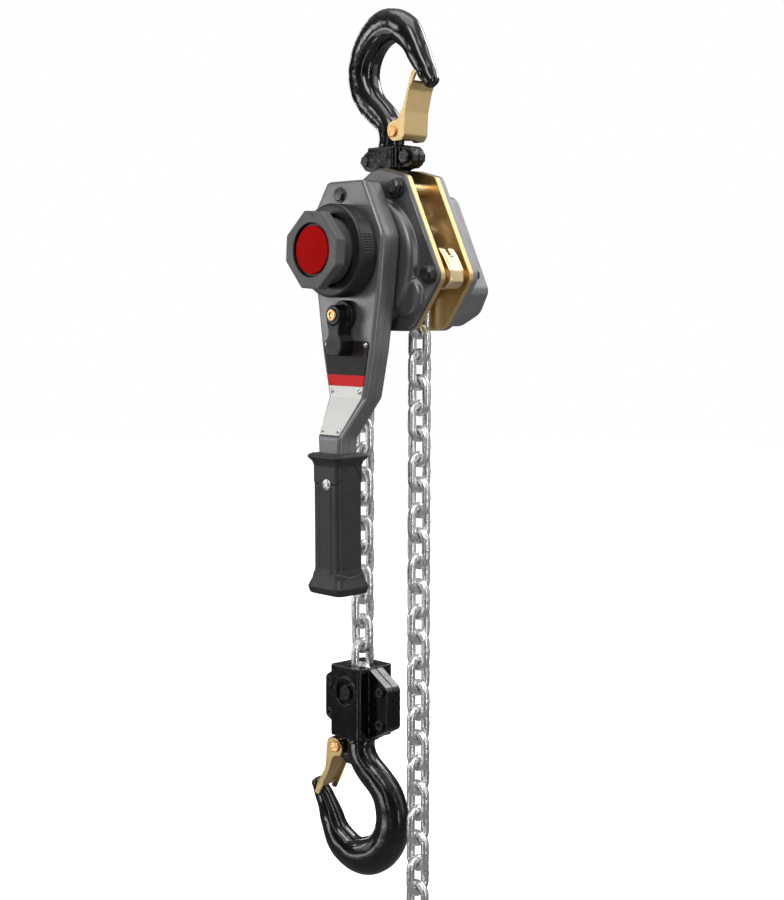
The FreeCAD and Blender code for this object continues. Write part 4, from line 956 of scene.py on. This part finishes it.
def grip_mesh():
    r = 5.0
    zs = [-277.0] + [-276.99 + 0.7 * k for k in range(int(113.98 / 0.7) + 1)]
    zs = [z for z in zs if z < -163.0] + [-163.0]
    rings = []
    for z in zs:
        a, b, dx = grip_dims(z)
        e = 0.0
        if z < -275.0:
            e = 2.0 - math.sqrt(max(0.0, 4.0 - (-275.0 - z) ** 2))
        if z > -164.5:
            e = 1.5 - math.sqrt(max(0.0, 2.25 - (z + 164.5) ** 2))
        a, b = a - e, b - e
        ring = []
        x0, x1, y0, y1 = dx - a, dx + a, gy - b, gy + b
        def seg(p, q, n):
            return [(p[0] + (q[0] - p[0]) * k / n, p[1] + (q[1] - p[1]) * k / n) for k in range(n)]
        def cor(c, a0, n=8):
            return [(c[0] + r * math.cos(math.radians(a0 + 90 * k / n)), c[1] + r * math.sin(math.radians(a0 + 90 * k / n))) for k in range(n)]
        pts = seg((x0 + r, y0), (x1 - r, y0), 44) + cor((x1 - r, y0 + r), -90) + seg((x1, y0 + r), (x1, y1 - r), 30) + cor((x1 - r, y1 - r), 0) \
            + seg((x1 - r, y1), (x0 + r, y1), 44) + cor((x0 + r, y1 - r), 90) + seg((x0, y1 - r), (x0, y0 + r), 30) + cor((x0 + r, y0 + r), 180)
        n = len(pts)
        for k, (x, y) in enumerate(pts):
            dep = grip_relief(x - dx, y, z, 0)
            if dep:
                tx, ty = pts[(k + 1) % n][0] - pts[k - 1][0], pts[(k + 1) % n][1] - pts[k - 1][1]
                l = math.hypot(tx, ty)
                x, y = x - ty / l * dep, y + tx / l * dep
            ring.append((x, y, z))
        rings.append(ring)
    return rings


gb = Batch()
gb.add(loft(grip_mesh()))
grip = gb.obj("v_grip", 60)
cut_holes(grip, [(2.0, -187.8, gy - 30, gy - 13.7, 5.05)])
shade(grip.data, 50, False)
finish_piece(grip, "grip")

# screw in the grip: pan head with a cross recess
sb = Batch()
ys = gy - 15.4
sb.add(turned_y([(3.0, gy - 10.2), (3.0, gy - 13.9), (4.6, gy - 13.9), (4.95, gy - 14.2)] + [(4.95 * math.cos(a), ys + 1.2 - 1.2 * math.sin(a)) for a in np.linspace(0.1, 1.35, 7)] + [(0.4, ys)], 2.0, -187.8, 48))
scr = sb.obj("v_grip_screw", 45)
cr = Batch()
for k in (0, 1):
    w, l = 0.55, 2.6
    x_, z_ = (l, w) if k else (w, l)
    cr.add(([(2.0 + sx * x_, yy, -187.8 + sz * z_) for yy in (ys - 1, ys + 0.9) for sx, sz in ((-1, -1), (1, -1), (1, 1), (-1, 1))],
            [(0, 1, 2, 3), (7, 6, 5, 4), (0, 4, 5, 1), (1, 5, 6, 2), (2, 6, 7, 3), (3, 7, 4, 0)]))
cutter = cr.obj("cross")


def subtract(ob, cutter):
    md = ob.modifiers.new("cut", "BOOLEAN")
    md.operation = "DIFFERENCE"
    md.object = cutter
    md.solver = "EXACT"
    md.use_self = True
    new = bpy.data.meshes.new_from_object(ob.evaluated_get(bpy.context.evaluated_depsgraph_get()))
    ob.modifiers.clear()
    new.name = ob.data.name
    ob.data = new
    cm = cutter.data
    bpy.data.objects.remove(cutter)
    bpy.data.meshes.remove(cm)


subtract(scr, cutter)
shade(scr.data, 40, False)
finish_piece(scr, "grip_screw", mat=MATS["bright_steel"])

# ------------------------------------------------------------------ handwheel
HW_R, HW_BACK, HW_FRONT = 37.7, -52.3, -68.5
grooves = [math.radians(45 * j - 1.7 + k * 3.4) for j in range(8) for k in range(7)]
NA = 1200


def rim_cut(a):
    d = 0.0
    for g in grooves:
        da = (a - g + math.pi) % (2 * math.pi) - math.pi
        u = da * HW_R
        if abs(u) < 0.85:
            d = max(d, 0.5 * (math.cos(u / 0.85 * math.pi) + 1) / 2)
    return d


cuts = [rim_cut(2 * math.pi * k / NA) for k in range(NA)]
prof = [(7.05, -56.5), (14.2, -56.5), (14.2, -55.3), (29.0, -55.3), (29.2, -55.6), (29.2, -67.9)] + arc((29.8, -67.9), 0.6, 180, 270) \
    + [(33.0, -68.5)] + arc((35.3, -66.1), 2.4, -90, 0, 8) + [(37.7, -65.4), (37.7, -65.0), (37.7, -54.4), (37.7, -53.9)] + arc((36.7, -53.3), 1.0, 0, 90) \
    + [(14.0, -52.3), (14.0, -50.1), (7.05, -50.1)]
rings = []
for r, y in prof:
    ring = []
    for k in range(NA):
        a = 2 * math.pi * k / NA
        rr = r
        if r > 37.0 and -65.2 < y < -54.2:
            rr = r - cuts[k]
        ring.append((rr * math.cos(a), y, rr * math.sin(a)))
    rings.append(ring)
hb = Batch()
hb.add(loft(rings, loop=True))
hw = hb.obj("v_handwheel", 40)
finish_piece(hw, "handwheel")

# ------------------------------------------------------------------ knob
KF, KB, KA, KC = -87.7, -78.7, 30.8, 10.2
NK = 288
TURN = math.radians(3.6)


def oct_r(a, inset=0.0, p=95.0):
    s = 0.0
    for k in range(8):
        d = (KA if k % 2 == 0 else (KA + KC) / math.sqrt(2)) - inset
        c = math.cos(a + TURN - k * math.pi / 4)
        if c > 0.2:
            s += (c / d) ** p
    return s ** (-1 / p)


rings = []


def kring(fn, y):
    rings.append([(fn(2 * math.pi * k / NK) * math.cos(2 * math.pi * k / NK), y, fn(2 * math.pi * k / NK) * math.sin(2 * math.pi * k / NK)) for k in range(NK)])


C = lambda r: (lambda a: r)
for r, y in [(7.1, -58.0), (7.1, -66.0), (18.0, -66.0), (18.0, -84.9), (18.3, -85.3), (21.0, -85.3), (21.15, -85.0), (21.4, -85.4), (21.4, -87.2)]:
    kring(C(r), y)
kring(C(21.55), -87.55)
kring(C(21.95), KF)
for t in (0.25, 0.5, 0.75):
    kring(lambda a, t=t: 22.2 * (1 - t) + oct_r(a, 1.3) * t, KF)
for k in range(6):
    w = math.pi / 2 * k / 5
    kring(lambda a, w=w: oct_r(a, 1.1 * (1 - math.sin(w))), KF + 1.1 * (1 - math.cos(w)))
kring(lambda a: oct_r(a), -82.0)
kring(lambda a: oct_r(a), KB - 0.7)
for k in range(4):
    w = math.pi / 2 * k / 3
    kring(lambda a, w=w: oct_r(a, 0.6 * (1 - math.cos(w))), KB - 0.6 + 0.6 * math.sin(w))
kring(C(27.3), KB)
kring(C(26.7), KB + 0.25)
kring(C(26.5), KB + 0.8)
kring(C(26.5), -58.6)
kring(C(25.9), -58.0)
kb = Batch()
kb.add(loft(rings, loop=True))
knob = kb.obj("v_knob", 32)


def box_vf(x0, x1, y0, y1, z0, z1, turn=0.0):
    v = [(x, y, z) for z in (z0, z1) for y in (y0, y1) for x in (x0, x1)]
    c, s = math.cos(turn), math.sin(turn)
    v = [(x * c + z * s, y, -x * s + z * c) for x, y, z in v]
    return v, [(0, 1, 3, 2), (4, 6, 7, 5), (0, 4, 5, 1), (2, 3, 7, 6), (0, 2, 6, 4), (1, 5, 7, 3)]


cb = Batch().add(box_vf(-0.55, 0.55, KF - 1, KF + 0.6, 25.6, 28.6, TURN))
subtract(knob, cb.obj("mark"))
shade(knob.data, 32, False)
finish_piece(knob, "knob")
cap = Batch().add(turned_y([(19.3, KF + 2.2)] + arc((18.6, KF + 1.6), 0.7, 0, -90, 5) + [(12.0, KF + 0.78), (6.0, KF + 0.72), (0.5, KF + 0.7)], 0, 0, 96))
finish_piece(cap.obj("v_knob_cap", 40), "knob_cap")

# ------------------------------------------------------------------ rounded copies of the CAD shapes
cad_copy("top_latch", 0.45, 3, cast=(0.05, 6))
cad_copy("bottom_latch", 0.45, 3, cast=(0.05, 6))
for n_ in ("top_latch_pin", "bottom_latch_pin"):
    cad_copy(n_, 0.7, 4)
for n_ in ("yoke_front", "yoke_rear"):
    cad_copy(n_, 1.3, 5, cast=(0.22, 3.0), cut=2.0)
for n_ in ("block_front", "block_rear"):
    cad_copy(n_, 0.7, 4, cast=(0.20, 2.6), cut=1.6)
cad_copy("yoke_bolts", 0.5, 3)
cad_copy("block_bolts", 0.4, 3)
cad_copy("chain_pin", 0.5, 3, mat=MATS["black_fastener"])
for n_ in ("side_plate_front", "side_plate_rear"):
    cad_copy(n_, 0.5, 3)
cad_copy("chain_guide", 1.9, 5, cast=(0.2, 7), mat=MATS["guide"])

# brake cover: a casting with a domed drum, a small boss and a lobe that run softly into each other
plate_pts = [(5, 69.8), (37.6, 61.3), (78.9, -21.2), (47.0, -64.4), (-44, -64.4), (-72, -20), (-46, 40)]
plate_rad = [28, 6, 11, 16, 14, 18, 16]
outline = np.array(round_poly(plate_pts, plate_rad, 12))


def reach(a):
    """Distance from the sheave axis to the rim in the direction a."""
    d = np.array([math.cos(a), math.sin(a)])
    p, q = outline, np.roll(outline, -1, axis=0)
    e = q - p
    den = d[0] * e[:, 1] - d[1] * e[:, 0]
    den = np.where(abs(den) < 1e-12, 1e-12, den)
    t = (p[:, 0] * e[:, 1] - p[:, 1] * e[:, 0]) / den
    u = (p[:, 0] * d[1] - p[:, 1] * d[0]) / den
    ok = (t > 0) & (u >= -1e-9) & (u <= 1 + 1e-9)
    return float(t[ok].max())


def swell(d, r, h, rim, foot):
    """Height over a round boss: flat, a rounded shoulder, a small fillet at its foot."""
    top = r - rim
    if d <= top:
        return h
    if d <= r - 0.25:
        return foot + (h - foot) * math.sqrt(max(0.0, 1 - ((d - top) / rim) ** 2))
    w = (d - (r - 0.25)) / 2.4
    e = foot + (h - foot) * math.sqrt(max(0.0, 1 - ((rim - 0.25) / rim) ** 2))
    return e * max(0.0, 1 - w) ** 2.6


def smax(a, b, k):
    t = max(k - abs(a - b), 0.0) / k
    return max(a, b) + t * t * k * 0.25


def cover_h(x, z):
    h = swell(math.hypot(x - 2.0, z + 7.7), 52.1, 7.6, 8.0, 0.8)
    b_ = swell(math.hypot(x - 27.5, z + 28.0), 19.0, 7.6, 5.0, 0.5)
    l_ = swell(math.hypot(x - 44.0, z + 37.0), 16.6, 5.1, 5.5, 0.6)
    return min(7.6, smax(smax(h, b_, 0.8), l_, 1.6))


NCV = 600
rim_y = -21.4
ang_ = [2 * math.pi * k / NCV for k in range(NCV)]
rch = [reach(a) for a in ang_]
rings = []


def cover_ring(off, lift, front=True, back=0.0):
    """off: mm inwards from the rim if negative, else a fraction between the bore and the rim."""
    ring = []
    for a, R in zip(ang_, rch):
        r = R + off if off < 0 else 29.5 + (R - 1.0 - 29.5) * off
        x, z = r * math.cos(a), r * math.sin(a)
        h = cover_h(x, z)
        ring.append((x, rim_y - h + lift if front else -18.6 - h * 8.4 / 7.6, z))
    rings.append(ring)


rings.append([(R * math.cos(a), -18.6, R * math.sin(a)) for a, R in zip(ang_, rch)])
rings.append([(R * math.cos(a), rim_y + 1.0, R * math.sin(a)) for a, R in zip(ang_, rch)])
for k in range(1, 6):
    w_ = math.pi / 2 * k / 5
    rings.append([((R - 1.0 + math.cos(w_)) * math.cos(a), rim_y + 1.0 - math.sin(w_), (R - 1.0 + math.cos(w_)) * math.sin(a)) for a, R in zip(ang_, rch)])
for k in range(1, 76):
    cover_ring(1 - k / 76, 0.0)
for k in range(4):
    w_ = math.pi / 2 * k / 3
    rr_ = 29.5 + 0.8 * (1 - math.sin(w_))
    rings.append([(rr_ * math.cos(a), rim_y - 7.6 + 0.8 * (1 - math.cos(w_)), rr_ * math.sin(a)) for a in ang_])
rings.append([(29.5 * math.cos(a), -27.0, 29.5 * math.sin(a)) for a in ang_])
for k in range(1, 16):
    cover_ring(k / 16, 0.0, False)
cvb = Batch()
cvb.add(loft(rings, loop=True))
cov = cvb.obj("v_brake_cover", 50)
lumps(cov.data, 0.06, 7.0, 2.0)
finish_piece(cov, "brake_cover")
cad_copy("gear_cover", 0.6, 3)
cad_copy("frame_bolts", 0.8, 4, cast=(0.10, 2.4))
cad_copy("lever_bolt", 0.5, 3)
cad_copy("selector_lever", 0.9, 4)
scp = [(0.5, -29.9), (3.2, -29.9), (3.45, -30.2), (3.45, -45.8), (2.5, -46.0), (2.5, -65.0), (4.6, -65.0), (4.95, -65.3), (4.95, -65.8)]
scp += arc((4.15, -65.8), 0.8, 0, -90, 5) + [(2.9, -66.6), (2.55, -66.35), (2.45, -65.6), (0.5, -65.5)]
ss = Batch().add(turned_y(scp, 0.0, -51.6, 64))
finish_piece(ss.obj("v_selector_screw", 35), "selector_screw")
cad_copy("lever_plate_upper", 0.25, 2)
cad_copy("lever_plate_lower", 0.25, 2)
cad_copy("stay_sleeves", 0.3, 2)


# the detent's spring, one wire wound in a helix
coil = []
for k in range(7 * 28 + 1):
    w = 2 * math.pi * k / 28
    zc = -77.0 - 12.0 * min(1.0, max(0.0, (k - 20) / (7 * 28 - 40.0)))
    coil.append([((2.6 + 0.45 * math.cos(q)) * math.cos(w), -38.5 + (2.6 + 0.45 * math.cos(q)) * math.sin(w), zc + 0.45 * math.sin(q))
                 for q in (2 * math.pi * j / 10 for j in range(10))])
sq = Batch()
sq.add(loft(coil))
spr = finish_piece(sq.obj("v_selector_spring", 60), "selector_spring")
tuple(to_row([(0, -38.5, -89.45)])[0])
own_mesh(spr)

for n_, ob in frame["nodes"].items():
    if n_ not in DONE:
        ob.data.materials.clear()
        ob.data.materials.append(MATS[SLOT[n_]])

# ------------------------------------------------------------------ stage, light, camera
FLOOR = -1.05


def plain(name, col, rough, emit):
    m = bpy.data.materials.new(name)
    m.use_nodes = True
    b = m.node_tree.nodes["Principled BSDF"]
    b.inputs["Base Color"].default_value = (*col, 1)
    b.inputs["Roughness"].default_value = rough
    b.inputs["Emission Color"].default_value = (1, 1, 1, 1)
    b.inputs["Emission Strength"].default_value = emit
    return m


me = bpy.data.meshes.new("floor")
nf = 96
me.from_pydata([(9 * math.cos(2 * math.pi * k / nf), 9 * math.sin(2 * math.pi * k / nf), FLOOR) for k in range(nf)], [], [tuple(range(nf))])
floor = bpy.data.objects.new("floor", me)
COL.objects.link(floor)
me.materials.append(plain("floor_white", (0.9, 0.9, 0.9), 0.7, 0.9))
floor.visible_glossy = False
floor.visible_diffuse = False
floor.visible_shadow = False

w = bpy.data.worlds.new("studio")
bpy.context.scene.world = w
w.use_nodes = True
wn, wl = w.node_tree.nodes, w.node_tree.links
for n_ in list(wn):
    wn.remove(n_)
out = wn.new("ShaderNodeOutputWorld")
bgw, bge, mx = wn.new("ShaderNodeBackground"), wn.new("ShaderNodeBackground"), wn.new("ShaderNodeMixShader")
lp = wn.new("ShaderNodeLightPath")
tc = wn.new("ShaderNodeTexCoord")
sp = wn.new("ShaderNodeSeparateXYZ")
rp = wn.new("ShaderNodeValToRGB")
mr = wn.new("ShaderNodeMapRange")
mr.inputs["From Min"].default_value, mr.inputs["From Max"].default_value = -1, 1
wl.new(tc.outputs["Generated"], sp.inputs[0])
wl.new(sp.outputs[2], mr.inputs["Value"])
wl.new(mr.outputs["Result"], rp.inputs["Fac"])
e = rp.color_ramp.elements
e[0].position, e[0].color = 0.18, (0.42, 0.42, 0.425, 1)
e[1].position, e[1].color = 0.95, (1.0, 1.0, 1.0, 1)
e2 = e.new(0.52)
e2.color = (0.06, 0.06, 0.062, 1)
e3 = e.new(0.72)
e3.color = (0.30, 0.30, 0.31, 1)
bgw.inputs["Color"].default_value = (1, 1, 1, 1)
bgw.inputs["Strength"].default_value = 1.0
bge.inputs["Strength"].default_value = 0.5
wl.new(rp.outputs["Color"], bge.inputs["Color"])
wl.new(lp.outputs["Is Camera Ray"], mx.inputs[0])
wl.new(bge.outputs[0], mx.inputs[1])
wl.new(bgw.outputs[0], mx.inputs[2])
wl.new(mx.outputs[0], out.inputs[0])


def area(name, loc, target, sx, sy, power):
    l = bpy.data.lights.new(name, "AREA")
    l.shape = "RECTANGLE"
    l.size, l.size_y = sx, sy
    l.energy = power
    o = bpy.data.objects.new(name, l)
    o.location = loc
    d = Vector(target) - Vector(loc)
    o.rotation_euler = d.to_track_quat("-Z", "Y").to_euler()
    COL.objects.link(o)
    return o


area("key", (0.55, -1.25, 0.75), (0, 0, -0.2), 0.5, 0.9, 9)
area("top", (0.1, -0.1, 1.1), (0, 0, -0.2), 1.2, 1.2, 10)
area("left_low", (-1.25, -1.2, -0.14), (0, 0, -0.16), 0.8, 0.26, 2.6)
area("left_high", (-1.2, -1.15, 0.33), (0, 0, 0.0), 0.40, 0.18, 1.3)
area("left_mid", (-1.25, -1.2, -0.56), (0, 0, -0.4), 0.8, 0.46, 1.5)
area("left_deep", (-0.72, -1.6, -1.06), (0, 0, -0.6), 0.5, 0.16, 1.1)
area("card", (1.3, 1.2, -0.1), (0, 0, -0.25), 1.0, 1.5, 3.2)
area("right", (0.95, 1.25, 0.85), (0, 0, -0.1), 0.8, 0.9, 4.4)
area("strip_right", (1.45, -0.35, -0.15), (0, 0, -0.25), 0.08, 1.7, 5.0)
area("strip_front", (0.15, -1.6, -0.25), (0, 0, -0.3), 0.06, 1.5, 1.6)
area("strip_left", (-1.45, 0.35, -0.15), (0, 0, -0.25), 0.16, 1.7, 4.0)
area("back", (0.0, 1.25, 0.65), (0, 0, -0.3), 0.55, 0.5, 6)

cam = bpy.data.cameras.new("camera")
cam.lens = 64.0
cam.sensor_fit = "VERTICAL"
cam.sensor_height = 36.0
cam.sensor_width = 36.0
cam.shift_y = -0.07
cam.clip_start, cam.clip_end = 0.05, 50
co = bpy.data.objects.new("camera", cam)
COL.objects.link(co)
a, p_, ro = math.radians(46.38 - 0.05), math.radians(-2.82), math.radians(0.15)
fw = Vector((-math.sin(a) * math.cos(p_), math.cos(a) * math.cos(p_), math.sin(p_)))
rt = Vector((math.cos(a), math.sin(a), 0))
upv = rt.cross(fw)
r2 = rt * math.cos(ro) + upv * math.sin(ro)
u2 = -rt * math.sin(ro) + upv * math.cos(ro)
co.matrix_world = Matrix(((r2.x, u2.x, -fw.x, 0.9637), (r2.y, u2.y, -fw.y, -0.9184), (r2.z, u2.z, -fw.z, -0.2181), (0, 0, 0, 1)))
bpy.context.scene.camera = co
bpy.context.scene.view_settings.view_transform = "Standard"
bpy.context.scene.view_settings.look = "None"
